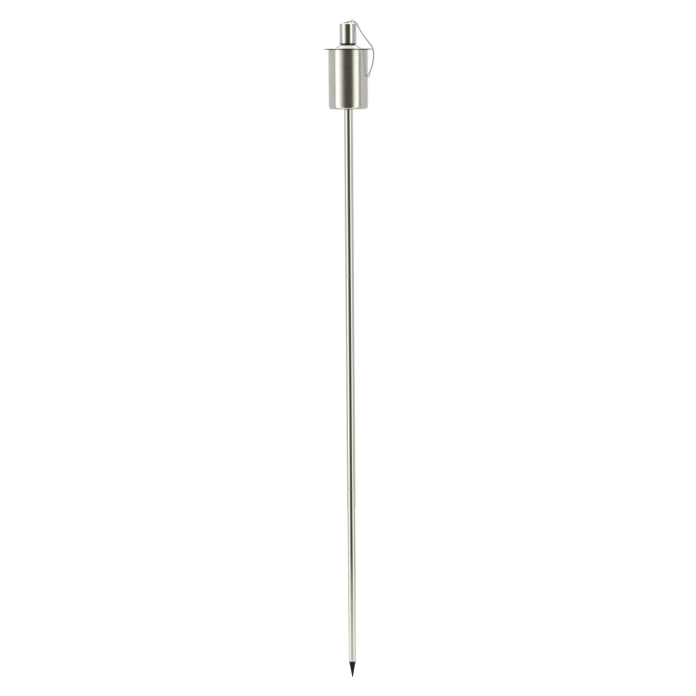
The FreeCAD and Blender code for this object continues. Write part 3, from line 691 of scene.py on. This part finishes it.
def make_finishes():
    """All shared effects and materials, once."""
    brushed_grain_effect()
    handling_marks_effect()
    fine_scratches_effect()
    rubbed_band_effect()
    painted_seam_shade_effect()
    settled_dust_effect()
    colours = bpy.context.scene.torch_colours
    sizes = bpy.context.scene.torch_sizes
    rim, seat = top("canister"), top("top_plate")
    hem = rim + sizes.plate_sheet - sizes.hem_height
    # Widths of painted shade under the brim, at the canister's floor, under the hem, round the
    # cap's seat, at the cap's lip and on the neck inside the cap.
    rim_shade, canister_floor_shade, hem_shade = 0.0028, 0.0011, 0.0007
    seat_shade, lip_shade, neck_shade = 0.0006, 0.0036, 0.005
    steel_finish("Pole steel", colours.steel, LENGTHWISE, roughness=0.09, grain_depth=0.0000003,
                 haze=0.06, rubbed=(foot("middle_tube"), foot("upper_tube")))
    steel_finish("Sleeve steel", colours.steel, ROUND, roughness=0.22, grain_depth=0.000006,
                 haze=0.6)
    steel_finish("Canister steel", colours.steel, ROUND, roughness=0.22, grain_depth=0.0000015,
                 haze=0.15, painted_shade_bands=((rim, rim_shade), (foot("canister"), canister_floor_shade)))
    steel_finish("Plate steel", colours.plate_steel, ROUND_FLAT, roughness=0.2,
                 grain_depth=0.000002, haze=0.25, dust=0.2,
                 painted_shade_bands=((hem, hem_shade), (seat, seat_shade)))
    steel_finish("Cap steel", colours.cap_steel, ROUND, roughness=0.09, grain_depth=0.0000006,
                 haze=0.15, painted_shade_bands=((foot("snuffer_cap"), lip_shade),))
    steel_finish("Chain steel", colours.chain_steel, LENGTHWISE, roughness=0.24,
                 grain_depth=0.000003, haze=0.5)
    steel_finish("Tab steel", colours.tab_steel, LENGTHWISE, roughness=0.34,
                 grain_depth=0.000004, haze=0.3)
    steel_finish("Neck steel", colours.neck_steel, ROUND, roughness=0.24, grain_depth=0.000005,
                 haze=0.6, painted_shade_bands=((seat, neck_shade),))
    plastic_finish()
    rubber_finish()
    wick_finish()


# The chain's plane


def chain_outward():
    """Level direction from the axis towards the chain."""
    place = middle("anchor_ring")
    return Vector((place.x, place.y, 0.0)).normalized()


def ring_reach(node):
    """Outside radius of a wire ring that stands upright."""
    low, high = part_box(node)
    return (high.z - low.z) / 2


def cap_seat():
    """Height of the top plate's raised middle, which the chain's route is measured from."""
    return top("top_plate")


def route_line(route):
    """Points of the smooth line that has the route's points as its control points."""
    outward = chain_outward()
    curve = bpy.data.curves.new("chain_route", "CURVE")
    curve.dimensions = "3D"
    spline = curve.splines.new("NURBS")
    spline.points.add(len(route) - 1)
    for point, (out, up) in zip(spline.points, route):
        point.co = (*(outward * out + UP * (cap_seat() + up)), 1.0)
    spline.order_u = 3
    spline.use_endpoint_u = True
    spline.resolution_u = 24
    carrier = bpy.data.objects.new("chain_route", curve)
    line = bpy.data.meshes.new_from_object(carrier)
    points = [vertex.co.copy() for vertex in line.vertices]
    bpy.data.objects.remove(carrier)
    bpy.data.curves.remove(curve)
    bpy.data.meshes.remove(line)
    return points


def along_line(line, distance):
    """Point and direction at a distance along a line; past an end it runs on straight."""
    left = distance
    for start, end in zip(line, line[1:]):
        step = end - start
        if left <= step.length or end is line[-1]:
            return start + step.normalized() * left, step.normalized()
        left -= step.length


def split_ring(radius, wire, centre, slit, slit_turn):
    """Wire ring in the chain's plane, not quite closed."""
    shape = bmesh.new()
    outward = chain_outward()
    line = arc_line(centre, outward, UP, radius, slit_turn + slit / 2,
                    slit_turn + math.tau - slit / 2, RING_STEPS)
    add_wire(shape, line, outward.cross(UP), wire, closed=False)
    return shape


# Pieces


class TORCH_OT_ground_spike(bpy.types.Operator):
    """Moulded spike with a parting line, its fluted shank up inside the pole"""

    bl_idname = "torch.ground_spike"
    bl_label = "Ground Spike"

    cone_taper = 1.1
    cone_steps = 28
    shank_flutes = 4
    parting_ridge = 0.00016
    parting_width = 0.03
    flute_depth = 0.0011

    def execute(self, context):
        """Builds the spike."""
        sizes = context.scene.torch_sizes
        low = foot("ground_spike")
        high = top("ground_spike")
        pole_foot = foot("lower_tube")
        shank = widest("ground_spike")
        mouth = narrowest("lower_tube", pole_foot, pole_foot + sizes.pole_wall)
        blunt = sizes.spike_tip
        cone = []
        for step in range(2, self.cone_steps + 1):
            part = step / self.cone_steps
            cone.append((blunt + (mouth - blunt) * part ** self.cone_taper,
                         low + (pole_foot - low) * part))
        outline = softened([(0.0, low), (blunt, low, blunt / 2), *cone])
        shoulder = pole_foot + sizes.pole_wall
        outline += softened(((mouth, shoulder), (shank, shoulder, sizes.edge_round),
                             (shank, high, sizes.foot_roll), (0.0, high)))

        def relief(out, up, turn):
            if up > shoulder:
                return -self.flute_depth * max(0.0, math.cos(self.shank_flutes * turn)) ** 2
            on_line = abs(math.sin(turn)) < self.parting_width
            return self.parting_ridge if on_line and up > low + sizes.foot_roll else 0.0

        add_piece("spike_moulding", turned(outline, TUBE_SIDES, relief=relief),
                  "ground_section", "Moulded plastic", "black_plastic", "ground_spike")
        return {"FINISHED"}


class TORCH_OT_pole_sections(bpy.types.Operator):
    """Three drawn tubes, the lowest one rolled in at its foot"""

    bl_idname = "torch.pole_sections"
    bl_label = "Pole Sections"

    def execute(self, context):
        """Builds the three tubes."""
        sizes = context.scene.torch_sizes
        for node, body in (("lower_tube", "ground_section"), ("middle_tube", "middle_section"),
                           ("upper_tube", "upper_section")):
            outside = widest(node)
            bore = outside - sizes.pole_wall
            low, high, edge = foot(node), top(node), sizes.edge_round
            if node == "lower_tube":
                mouth = narrowest(node, low, low + sizes.pole_wall)
                bottom = ((mouth, low + sizes.pole_wall), (mouth, low),
                          (outside, low, sizes.foot_roll))
                inner_foot = ((bore, low + sizes.pole_wall, sizes.foot_roll - sizes.pole_wall),)
            else:
                bottom = ((bore, low, edge), (outside, low, edge))
                inner_foot = ()
            corners = bottom + ((outside, high, edge), (bore, high, edge)) + inner_foot
            add_turned(node.replace("tube", "section_tube"), corners, body, "Pole steel",
                       "pole_steel", node)
        return {"FINISHED"}


class TORCH_OT_joint_sleeves(bpy.types.Operator):
    """Sleeves inside the pole's joints and the spigot under the canister"""

    bl_idname = "torch.joint_sleeves"
    bl_label = "Joint Sleeves"

    sleeve_wall = 0.0008
    groove = 0.00025
    groove_places = (0.62, 0.72, 0.86)

    def execute(self, context):
        """Builds both sleeves and the spigot."""
        sizes = context.scene.torch_sizes
        edge = sizes.edge_round
        for node, body in (("lower_joint_sleeve", "ground_section"),
                           ("upper_joint_sleeve", "middle_section")):
            low, high = foot(node), top(node)
            bore = widest(node)
            joint = (low + high) / 2
            slim = widest(node, joint + edge)
            inside = bore - self.sleeve_wall
            corners = [(inside, low, edge), (bore, low, edge), (bore, joint, edge / 4),
                       (slim, joint)]
            for place in self.groove_places:
                height = low + (high - low) * place
                corners += [(slim, height - self.groove * 2), (slim - self.groove, height, edge),
                            (slim, height + self.groove * 2)]
            corners += [(slim, high, self.sleeve_wall / 2), (inside, high, edge / 2)]
            add_turned(node + "_tube", corners, body, "Sleeve steel", "sleeve_steel", node)

        node = "head_spigot"
        low, high, outside = foot(node), top(node), widest(node)
        inside = outside - self.sleeve_wall
        closed_top = high - self.sleeve_wall
        corners = [(0.0, closed_top), (inside, closed_top, edge), (inside, low, edge / 2),
                   (outside, low, self.sleeve_wall / 2)]
        for place in self.groove_places:
            height = low + (high - low) * (1.0 - place)
            corners += [(outside, height - self.groove * 2), (outside - self.groove, height, edge),
                        (outside, height + self.groove * 2)]
        corners += [(outside, high), (0.0, high)]
        add_turned("spigot_cup", corners, "head", "Sleeve steel", "sleeve_steel", node,
                   closed=False)
        return {"FINISHED"}


class TORCH_OT_canister(bpy.types.Operator):
    """Drawn and brushed fuel canister with a pressed ring in its floor"""

    bl_idname = "torch.canister"
    bl_label = "Canister"

    floor_ring_out = 0.62
    floor_ring_width = 0.0022
    floor_ring_rise = 0.0005

    def execute(self, context):
        """Builds the canister."""
        sizes = context.scene.torch_sizes
        outside, low, high = widest("canister"), foot("canister"), top("canister")
        wall, edge = sizes.canister_wall, sizes.edge_round
        inside = outside - wall
        ring = outside * self.floor_ring_out
        width, rise = self.floor_ring_width, self.floor_ring_rise
        corners = (
            (0.0, low),
            (ring - width, low, width), (ring - width / 2, low + rise, width / 2),
            (ring + width / 2, low + rise, width / 2), (ring + width, low, width),
            (outside, low, sizes.canister_corner), (outside, high, edge), (inside, high, edge),
            (inside, low + wall, sizes.canister_corner - wall),
            (ring + width, low + wall, width), (ring + width / 2, low + wall + rise, width / 2),
            (ring - width / 2, low + wall + rise, width / 2), (ring - width, low + wall, width),
            (0.0, low + wall),
        )
        add_turned("canister_shell", corners, "head", "Canister steel", "can_steel",
                   "canister", sides=WIDE_SIDES, closed=False)
        return {"FINISHED"}


class TORCH_OT_top_plate(bpy.types.Operator):
    """Pressed top plate with its folded hem, skirt and raised middle"""

    bl_idname = "torch.top_plate"
    bl_label = "Top Plate"

    hem_bulge = 0.45

    def execute(self, context):
        """Builds the plate."""
        sizes = context.scene.torch_sizes
        rim, seat = top("canister"), top("top_plate")
        sheet, edge = sizes.plate_sheet, sizes.edge_round
        outside = widest("top_plate")
        skirt = widest("canister") - sizes.canister_wall
        hole = narrowest("top_plate")
        boss_edge = widest("snuffer_cap") + sizes.boss_margin
        boss_foot = boss_edge + sizes.boss_slope
        hem_foot = rim + sheet - sizes.hem_height
        hem_inside = outside - sizes.hem_width
        hem_round = sizes.hem_height * self.hem_bulge
        corners = (
            (hole, seat, edge),
            (boss_edge, seat, sizes.boss_round),
            (boss_foot, rim + sheet, sizes.boss_foot_round),
            (outside, rim + sheet, hem_round),
            (outside, hem_foot, hem_round),
            (hem_inside, hem_foot, edge),
            (hem_inside, rim),
            (skirt, rim),
            (skirt, rim - sizes.skirt_depth, edge),
            (skirt - sheet, rim - sizes.skirt_depth, edge),
            (skirt - sheet, rim, edge),
            (boss_foot, rim, sizes.boss_foot_round),
            (boss_edge, seat - sheet, sizes.boss_round),
            (hole, seat - sheet, edge),
        )
        add_turned("plate_pressing", corners, "head", "Plate steel", "plate_steel",
                   "top_plate", sides=WIDE_SIDES)
        return {"FINISHED"}


class TORCH_OT_filler_neck(bpy.types.Operator):
    """Filler neck with its screw thread"""

    bl_idname = "torch.filler_neck"
    bl_label = "Filler Neck"

    rings_per_turn = 8
    neck_wall = 0.0015
    flange_sheet = 0.0012

    def execute(self, context):
        """Builds the neck."""
        sizes = context.scene.torch_sizes
        low, high = foot("filler_neck"), top("filler_neck")
        flange = widest("filler_neck")
        outside = widest("filler_neck", high - sizes.thread_pitch)
        inside, edge = outside - self.neck_wall, sizes.edge_round
        under = top("top_plate") - sizes.plate_sheet
        corners = [(inside, high, edge), (inside, low, edge), (outside, low, edge),
                   (outside, under - self.flange_sheet), (flange, under - self.flange_sheet, edge),
                   (flange, under, edge), (outside, under)]
        outline = softened(corners)
        thread_foot = top("top_plate")
        rings = round((high - thread_foot) / sizes.thread_pitch * self.rings_per_turn)
        for ring in range(rings + 1):
            outline.append((outside, thread_foot + (high - thread_foot) * ring / rings))

        def relief(out, up, turn):
            if up < thread_foot or out < outside - edge:
                return 0.0
            phase = math.tau * up / sizes.thread_pitch - turn
            fade = min(1.0, (up - thread_foot) / sizes.thread_pitch)
            return -sizes.thread_depth * fade * (0.5 + 0.5 * math.cos(phase))

        add_piece("neck_collar", turned(outline, TUBE_SIDES, closed=True, relief=relief), "head",
                  "Neck steel", "neck_steel", "filler_neck")
        return {"FINISHED"}


class TORCH_OT_wick_clamp(bpy.types.Operator):
    """Gasket, wick holder and the knurled ring that clamps them"""

    bl_idname = "torch.wick_clamp"
    bl_label = "Wick Clamp"

    flange_sheet = 0.001
    points_per_knurl = 12
    knurl_bottom = 0.0008

    def execute(self, context):
        """Builds the gasket, the holder and the ring."""
        sizes = context.scene.torch_sizes
        edge = sizes.edge_round
        low, high = foot("neck_gasket"), top("neck_gasket")
        outside, hole = widest("neck_gasket"), narrowest("neck_gasket")
        corners = [(hole, low, edge), (outside, low, edge),
                   (outside, high, edge), (hole, high, edge)]
        add_turned("gasket_washer", corners, "burner", "Seal rubber", "seal_rubber",
                   "neck_gasket")

        tube = widest("wick_holder", top("wick_holder") - edge)
        bore = narrowest("wick_holder")
        flange, flange_foot = widest("wick_holder"), high
        flange_top = flange_foot + self.flange_sheet
        low, high = foot("wick_holder"), top("wick_holder")
        corners = [(bore, low, edge / 2), (tube, low, edge / 2), (tube, flange_foot),
                   (flange, flange_foot, edge), (flange, flange_top, edge),
                   (tube, flange_top, edge), (tube, high, edge / 2), (bore, high, edge / 2)]
        add_turned("holder_tube", corners, "burner", "Sleeve steel", "sleeve_steel",
                   "wick_holder")

        low, high = foot("screw_ring"), top("screw_ring")
        outside, window = widest("screw_ring"), narrowest("screw_ring")
        thread = narrowest("screw_ring", low, low + edge)
        lip = high - sizes.ring_lip
        corners = [(thread, lip), (thread, low, edge), (outside, low, edge),
                   (outside, low + self.knurl_bottom), (outside, lip),
                   (outside, high, sizes.ring_lip / 2), (window, high, edge), (window, lip, edge)]

        def relief(out, up, turn):
            if out < outside - edge or up > lip + edge:
                return 0.0
            groove = 0.5 - 0.5 * math.cos(sizes.knurl_count * turn)
            return -sizes.knurl_depth * groove ** 3

        add_turned("knurled_ring", corners, "clamp_ring", "Neck steel", "neck_steel",
                   "screw_ring", sides=sizes.knurl_count * self.points_per_knurl,
                   relief=relief)
        return {"FINISHED"}


class TORCH_OT_wick(bpy.types.Operator):
    """Braided wick"""

    bl_idname = "torch.wick"
    bl_label = "Wick"

    climb = 380.0
    rings = 260
    dome = 0.2

    def execute(self, context):
        """Builds the wick."""
        sizes = context.scene.torch_sizes
        low, high, outside = foot("wick"), top("wick"), widest("wick")
        body_out = outside - sizes.braid_depth / 2
        rounding = outside * self.dome
        outline = [(0.0, low)]
        for ring in range(self.rings + 1):
            up = low + rounding + (high - low - 2 * rounding) * ring / self.rings
            outline.append((body_out, up))
        cap_line = softened(((body_out, high - rounding * 2), (body_out, high, rounding),
                             (0.0, high)))
        outline += [tuple(point) for point in cap_line[1:]]
        outline.insert(1, (body_out - rounding, low))

        def relief(out, up, turn):
            count = sizes.braid_count
            crossing = math.sin(count * turn + self.climb * up) * math.sin(
                count * turn - self.climb * up)
            fade = min(1.0, out / body_out)
            return sizes.braid_depth * 0.5 * crossing * fade

        add_piece("braided_wick", turned(outline, TUBE_SIDES, relief=relief), "wick_core",
                  "Glass-fibre braid", "wick_glass", "wick")
        return {"FINISHED"}


class TORCH_OT_snuffer_cap(bpy.types.Operator):
    """Polished cap with a rolled-in lip, and the rivet through its top"""

    bl_idname = "torch.snuffer_cap"
    bl_label = "Snuffer Cap"

    post = 0.0013
    base_sheet = 0.001
    head_sheet = 0.0009
    head_dome = 0.7

    def execute(self, context):
        """Builds the cap and its rivet."""
        sizes = context.scene.torch_sizes
        low, high, outside = foot("snuffer_cap"), top("snuffer_cap"), widest("snuffer_cap")
        skin, edge = sizes.cap_sheet, sizes.edge_round
        inside = outside - skin
        mouth = narrowest("snuffer_cap", low, low + edge / 2)
        corners = (
            (self.post, high), (outside, high, sizes.cap_crown),
            (outside, low, sizes.cap_curl), (mouth, low), (mouth, low + skin),
            (inside, low + skin, sizes.cap_curl - skin),
            (inside, high - skin, sizes.cap_crown - skin), (self.post, high - skin),
        )
        add_turned("cap_shell", corners, "cap", "Cap steel", "cap_steel", "snuffer_cap",
                   sides=WIDE_SIDES)

        low, high = foot("cap_rivet"), top("cap_rivet")
        base, head = widest("cap_rivet"), widest("cap_rivet", high - self.head_sheet)
        corners = (
            (0.0, low), (base, low, self.base_sheet / 2), (base, low + self.base_sheet, edge),
            (self.post, low + self.base_sheet), (self.post, high - self.head_sheet),
            (head, high - self.head_sheet, edge), (head, high, self.head_sheet * self.head_dome),
            (0.0, high),
        )
        add_turned("rivet_post", corners, "cap", "Cap steel", "cap_steel", "cap_rivet",
                   closed=False)
        return {"FINISHED"}


class TORCH_OT_swivel_tab(bpy.types.Operator):
    """Bevelled tab with round ends, loose on the rivet"""

    bl_idname = "torch.swivel_tab"
    bl_label = "Swivel Tab"

    end_fullness = 0.92
    hole_points = 40

    def execute(self, context):
        """Builds the tab."""
        sizes = context.scene.torch_sizes
        half = sizes.tab_width / 2
        rounding = half * self.end_fullness
        edge = sizes.edge_round
        plan = softened((
            (-sizes.tab_short_end, -half, rounding), (sizes.tab_long_end, -half, rounding),
            (sizes.tab_long_end, half, rounding), (-sizes.tab_short_end, half, rounding),
        ), closed=True)
        curve = bpy.data.curves.new("tab_plan", "CURVE")
        curve.dimensions = "2D"
        curve.fill_mode = "BOTH"
        curve.extrude = sizes.tab_sheet / 2 - edge
        curve.bevel_depth = edge
        curve.bevel_resolution = 3
        curve.offset = -edge
        loops = [plan]
        for out, radius in ((0.0, sizes.tab_hole),
                            (sizes.tab_ring_hole, sizes.tab_ring_hole_radius)):
            loops.append([
                Vector((out + radius * math.cos(math.tau * step / self.hole_points),
                        -radius * math.sin(math.tau * step / self.hole_points)))
                for step in range(self.hole_points)])
        for loop in loops:
            spline = curve.splines.new("POLY")
            spline.points.add(len(loop) - 1)
            for point, place in zip(spline.points, loop):
                point.co = (*place, 0.0, 1.0)
            spline.use_cyclic_u = True
        carrier = bpy.data.objects.new("tab_plan", curve)
        flat = bpy.data.meshes.new_from_object(carrier)
        shape = bmesh.new()
        shape.from_mesh(flat)
        bmesh.ops.remove_doubles(shape, verts=shape.verts, dist=MERGE_DISTANCE)
        bpy.data.objects.remove(carrier)
        bpy.data.curves.remove(curve)
        bpy.data.meshes.remove(flat)
        outward = chain_outward()
        along = outward * math.cos(sizes.tab_tilt) + UP * math.sin(sizes.tab_tilt)
        across = UP.cross(outward)
        place = Matrix((along, across, along.cross(across))).transposed().to_4x4()
        place.translation = UP * middle_height_of_tab(sizes)
        bmesh.ops.transform(shape, matrix=place, verts=shape.verts)
        add_piece("tab_plate", shape, "cap_hanger", "Tab steel", "chain_steel",
                  "swivel_tab")
        return {"FINISHED"}


def middle_height_of_tab(sizes):
    """Height of the tab's middle where it crosses the rivet."""
    low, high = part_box("swivel_tab")
    uphill = sizes.tab_long_end - sizes.tab_short_end
    return (low.z + high.z) / 2 - uphill / 2 * math.sin(sizes.tab_tilt)


class TORCH_OT_chain_rings(bpy.types.Operator):
    """Split wire rings at both ends of the chain, and the eye welded to the canister"""

    bl_idname = "torch.chain_rings"
    bl_label = "Chain Rings"

    slit = math.radians(6)
    cap_slit_turn = math.radians(60)
    anchor_slit_turn = math.radians(240)
    eye_sink = 0.0005

    def execute(self, context):
        """Builds both rings and the eye."""
        sizes = context.scene.torch_sizes
        for name, node, body, wire, slit_turn in (
            ("cap_wire_ring", "cap_ring", "cap_hanger", sizes.cap_ring_wire,
             self.cap_slit_turn),
            ("anchor_wire_ring", "anchor_ring", "head", sizes.anchor_ring_wire,
             self.anchor_slit_turn),
        ):
            radius = ring_reach(node) - wire
            shape = split_ring(radius, wire, middle(node), self.slit, slit_turn)
            add_piece(name, shape, body, "Chain steel", "chain_steel", node)
        self.build_eye(sizes)
        return {"FINISHED"}

    def build_eye(self, sizes):
        """Domed pad and the level loop."""
        outward = chain_outward()
        across = UP.cross(outward)
        wall = widest("canister")
        face = wall + sizes.eye_pad_sheet
        back = math.sqrt(wall ** 2 - sizes.eye_pad ** 2) - sizes.edge_round
        corners = ((0.0, back), (sizes.eye_pad, back),
                   (sizes.eye_pad, face, sizes.eye_pad_sheet / 2), (0.0, face))
        shape = turned(softened(corners), TUBE_SIDES // 2)
        height = middle("anchor_eye").z
        place = Matrix((UP, across, outward)).transposed().to_4x4()
        place.translation = UP * height
        bmesh.ops.transform(shape, matrix=place, verts=shape.verts)
        centre = outward * (face - self.eye_sink) + UP * height
        loop = arc_line(centre, across, outward, sizes.eye_loop, 0.0, math.pi, EYE_STEPS)
        add_wire(shape, loop, UP, sizes.eye_wire, closed=False)
        add_piece("wall_eye", shape, "head", "Sleeve steel", "chain_steel",
                  "anchor_eye")


class TORCH_OT_chain(bpy.types.Operator):
    """Oval-link chain that hangs from the cap to the canister"""

    bl_idname = "torch.chain"
    bl_label = "Chain"

    length = 0.125
    link_points = 28

    def execute(self, context):
        """Builds the links and lays them along the route."""
        sizes = context.scene.torch_sizes
        line = route_line(CHAIN_ROUTE)
        span = sum((end - start).length for start, end in zip(line, line[1:]))
        sideways = UP.cross(chain_outward())
        cap_wire = middle("cap_ring") + (line[0] - middle("cap_ring")).normalized() * (
            ring_reach("cap_ring") - 2 * sizes.cap_ring_wire - sizes.link_wire)
        end_wire = middle("anchor_ring") + (line[-1] - middle("anchor_ring")).normalized() * (
            ring_reach("anchor_ring") - 2 * sizes.anchor_ring_wire - sizes.link_wire)
        overshoot = (line[0] - cap_wire).length
        run_on = (line[-1] - end_wire).length
        # Both end links lie flat, through upright rings, so the links between them are odd.
        reach = span + overshoot + run_on - 2 * sizes.link_wire
        pairs = round(reach / sizes.link_pitch / 2)
        links = 2 * pairs + 1
        pitch = reach / links
        bend = sizes.link_width / 2 - sizes.link_wire
        straight = pitch / 2 + sizes.link_wire - bend
        shape = bmesh.new()
        for link in range(links):
            distance = sizes.link_wire - overshoot + pitch * (link + 0.5)
            centre, along = along_line(line, distance)
            flat = sideways if link % 2 == 0 else along.cross(sideways)
            oval = []
            for step in range(self.link_points):
                turn = math.tau * (step + 0.5) / self.link_points
                ahead = math.copysign(straight, math.cos(turn)) + bend * math.cos(turn)
                oval.append(centre + along * ahead + flat * bend * math.sin(turn))
            add_wire(shape, oval, along.cross(flat).normalized(), sizes.link_wire, closed=True)
        links_piece = add_piece("link_chain", shape, None, "Chain steel",
                                "chain_steel", "chain")
        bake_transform(links_piece)
        return {"FINISHED"}


class TORCH_OT_stage(bpy.types.Operator):
    """Pale floor, soft studio light and the camera"""

    bl_idname = "torch.stage"
    bl_label = "Stage"

    floor_thickness = 0.004
    sensor = 36.0
    back_start = math.radians(95)
    back_end = math.radians(125)
    back_low = 0.15
    back_high = 0.4
    overhead_start = math.radians(30)
    overhead_end = math.radians(52)
    floor_mottle = 0.02
    mottle_fineness = 40.0
    mirror_reach = 1.0
    mirror_loss = 0.7

    def execute(self, context):
        """Builds the stage."""
        settings = context.scene.torch_stage
        self.add_camera(context, settings)
        self.add_light(context, settings)
        self.add_floor(context, settings)
        context.scene.view_settings.view_transform = "Standard"
        return {"FINISHED"}

    def add_camera(self, context, settings):
        """Camera in front of the torch, looking down a little."""
        camera = bpy.data.cameras.new("stage_camera")
        camera.sensor_width = self.sensor
        camera.lens = settings.camera_lens
        holder = bpy.data.objects.new("stage_camera", camera)
        context.scene.collection.objects.link(holder)
        place = Vector((settings.camera_across, -settings.camera_distance, settings.camera_height))
        pitch = Matrix.Rotation(math.pi / 2 - settings.camera_tilt, 4, "X")
        roll = Matrix.Rotation(settings.camera_roll, 4, "Z")
        holder.matrix_world = Matrix.Translation(place) @ pitch @ roll
        context.scene.camera = holder

    def add_light(self, context, settings):
        """Tall soft panels round the torch, light from above, and a white backdrop."""
        world = bpy.data.worlds.new("studio")
        world.use_nodes = True
        context.scene.world = world
        world.node_tree.nodes.clear()
        graph = Graph(world.node_tree)
        direction = graph.add("ShaderNodeTexCoord").outputs["Generated"]
        parts = graph.add("ShaderNodeSeparateXYZ", {"Vector": direction}).outputs
        turn = graph.math("ARCTAN2", parts["X"], graph.math("MULTIPLY", parts["Y"], -1.0))
        ramp = graph.add("ShaderNodeValToRGB")
        graph.feed(ramp.inputs[0], graph.math("MULTIPLY_ADD", turn, 1 / math.tau, 0.5))
        stops = ramp.color_ramp.elements
        stops[0].position, stops[1].position = 0.0, 1.0
        for degrees, _level, _warmth in STUDIO_PANELS[1:-1]:
            stops.new(degrees / 360 + 0.5)
        for stop, (_degrees, level, warmth) in zip(stops, STUDIO_PANELS):
            part = level / BRIGHTEST_PANEL
            stop.color = (part, part * (1 - WARM_GREEN_LOSS * warmth),
                          part * (1 - WARM_BLUE_LOSS * warmth), 1.0)
        panels = graph.scaled(ramp.outputs[0], (BRIGHTEST_PANEL,) * 3)
        behind = graph.spread(graph.math("ABSOLUTE", turn), self.back_start, self.back_end)
        high_up = graph.spread(parts["Z"], self.back_low, self.back_high)
        lifted = graph.math("MULTIPLY", behind, high_up)
        back = (settings.back_light,) * 3 + (1.0,)
        level = graph.blend(lifted, panels, back)
        above = graph.spread(parts["Z"], math.sin(self.overhead_start),
                             math.sin(self.overhead_end))
        overhead = (settings.overhead_light,) * 3 + (1.0,)
        lit = graph.blend(above, level, overhead)
        seen = graph.add("ShaderNodeLightPath").outputs["Is Camera Ray"]
        backdrop = (settings.backdrop,) * 3 + (1.0,)
        colour = graph.blend(seen, lit, backdrop)
        background = graph.add("ShaderNodeBackground", {"Color": colour})
        output = graph.add("ShaderNodeOutputWorld")
        graph.feed(output.inputs["Surface"], background.outputs[0])

    def add_floor(self, context, settings):
        """Round pale floor, just under the spike's tip."""
        level = foot("ground_spike")
        radius, under = settings.floor_radius, level - self.floor_thickness
        corners = ((0.0, level), (radius, level, self.floor_thickness / 2),
                   (radius, under, self.floor_thickness / 4), (0.0, under))
        shape = turned(softened(corners), WIDE_SIDES)
        bmesh.ops.recalc_face_normals(shape, faces=shape.faces)
        mesh = bpy.data.meshes.new("studio_floor")
        shape.to_mesh(mesh)
        shape.free()
        floor = bpy.data.objects.new("studio_floor", mesh)
        context.scene.collection.objects.link(floor)
        colours = context.scene.torch_colours
        finish, graph, shader, surface = new_finish("Studio floor", colours.floor, Roughness=0.9)
        mottle = graph.share(graph.noise(surface, self.mottle_fineness, detail=4.0),
                             self.floor_mottle)
        graph.feed(shader.inputs["Base Color"], graph.blend(mottle, rgba(colours.floor),
                                                            rgba(colours.dust)))
        rays = graph.add("ShaderNodeLightPath").outputs
        mirrored = rays["Is Glossy Ray"]
        seen = graph.math("MAXIMUM", rays["Is Camera Ray"], mirrored)
        graph.feed(shader.inputs["Emission Strength"],
                   graph.math("MULTIPLY", seen, settings.floor_glow))
        graph.feed(shader.inputs["Emission Color"],
                   graph.blend(mirrored, (1.0, 1.0, 1.0, 1.0), rgba(colours.floor_mirrored)))
        away = graph.add("ShaderNodeVectorMath", operation="LENGTH")
        graph.feed(away.inputs[0], surface)
        fading = graph.spread(away.outputs["Value"], 0.0, self.mirror_reach, self.mirror_loss, 1.0)
        graph.feed(shader.inputs["Alpha"],
                   graph.math("MULTIPLY_ADD", graph.math("MULTIPLY", mirrored, fading), -1.0, 1.0))
        mesh.materials.append(finish)


PIECE_OPERATORS = (
    TORCH_OT_ground_spike,
    TORCH_OT_pole_sections,
    TORCH_OT_joint_sleeves,
    TORCH_OT_canister,
    TORCH_OT_top_plate,
    TORCH_OT_filler_neck,
    TORCH_OT_wick_clamp,
    TORCH_OT_wick,
    TORCH_OT_snuffer_cap,
    TORCH_OT_swivel_tab,
    TORCH_OT_chain_rings,
    TORCH_OT_chain,
)


class TORCH_PT_builder(bpy.types.Panel):
    """Lists the torch's pieces"""

    bl_idname = "TORCH_PT_builder"
    bl_label = "Garden Oil Torch"
    bl_space_type = "VIEW_3D"
    bl_region_type = "UI"
    bl_category = "Torch"

    def draw(self, context):
        """Draws a button for each operator, then the settings."""
        for operator in (TORCH_OT_stage, *PIECE_OPERATORS):
            self.layout.operator(operator.bl_idname)
        for group in (context.scene.torch_sizes, context.scene.torch_colours,
                      context.scene.torch_stage):
            box = self.layout.box()
            for name in group.bl_rna.properties.keys():
                if name not in ("rna_type", "name"):
                    box.prop(group, name)


SETTINGS = (
    ("torch_sizes", TorchSizes),
    ("torch_colours", TorchColours),
    ("torch_stage", TorchStage),
)
CLASSES = (
    *(group for _name, group in SETTINGS),
    TORCH_OT_stage,
    *PIECE_OPERATORS,
    TORCH_PT_builder,
)


def register():
    """Adds the classes and the scene's settings."""
    for cls in CLASSES:
        bpy.utils.register_class(cls)
    for name, group in SETTINGS:
        setattr(bpy.types.Scene, name, PointerProperty(type=group))


def unregister():
    """Takes the settings and the classes away again."""
    for name, _group in SETTINGS:
        delattr(bpy.types.Scene, name)
    for cls in reversed(CLASSES):
        bpy.utils.unregister_class(cls)


def main():
    """Builds the torch and its stage."""
    register()
    make_finishes()
    bpy.ops.torch.stage()
    bpy.ops.torch.ground_spike()
    bpy.ops.torch.pole_sections()
    bpy.ops.torch.joint_sleeves()
    bpy.ops.torch.canister()
    bpy.ops.torch.top_plate()
    bpy.ops.torch.filler_neck()
    bpy.ops.torch.wick_clamp()
    bpy.ops.torch.wick()
    bpy.ops.torch.snuffer_cap()
    bpy.ops.torch.swivel_tab()
    bpy.ops.torch.chain_rings()
    bpy.ops.torch.chain()


if __name__ == "__main__":
    main()
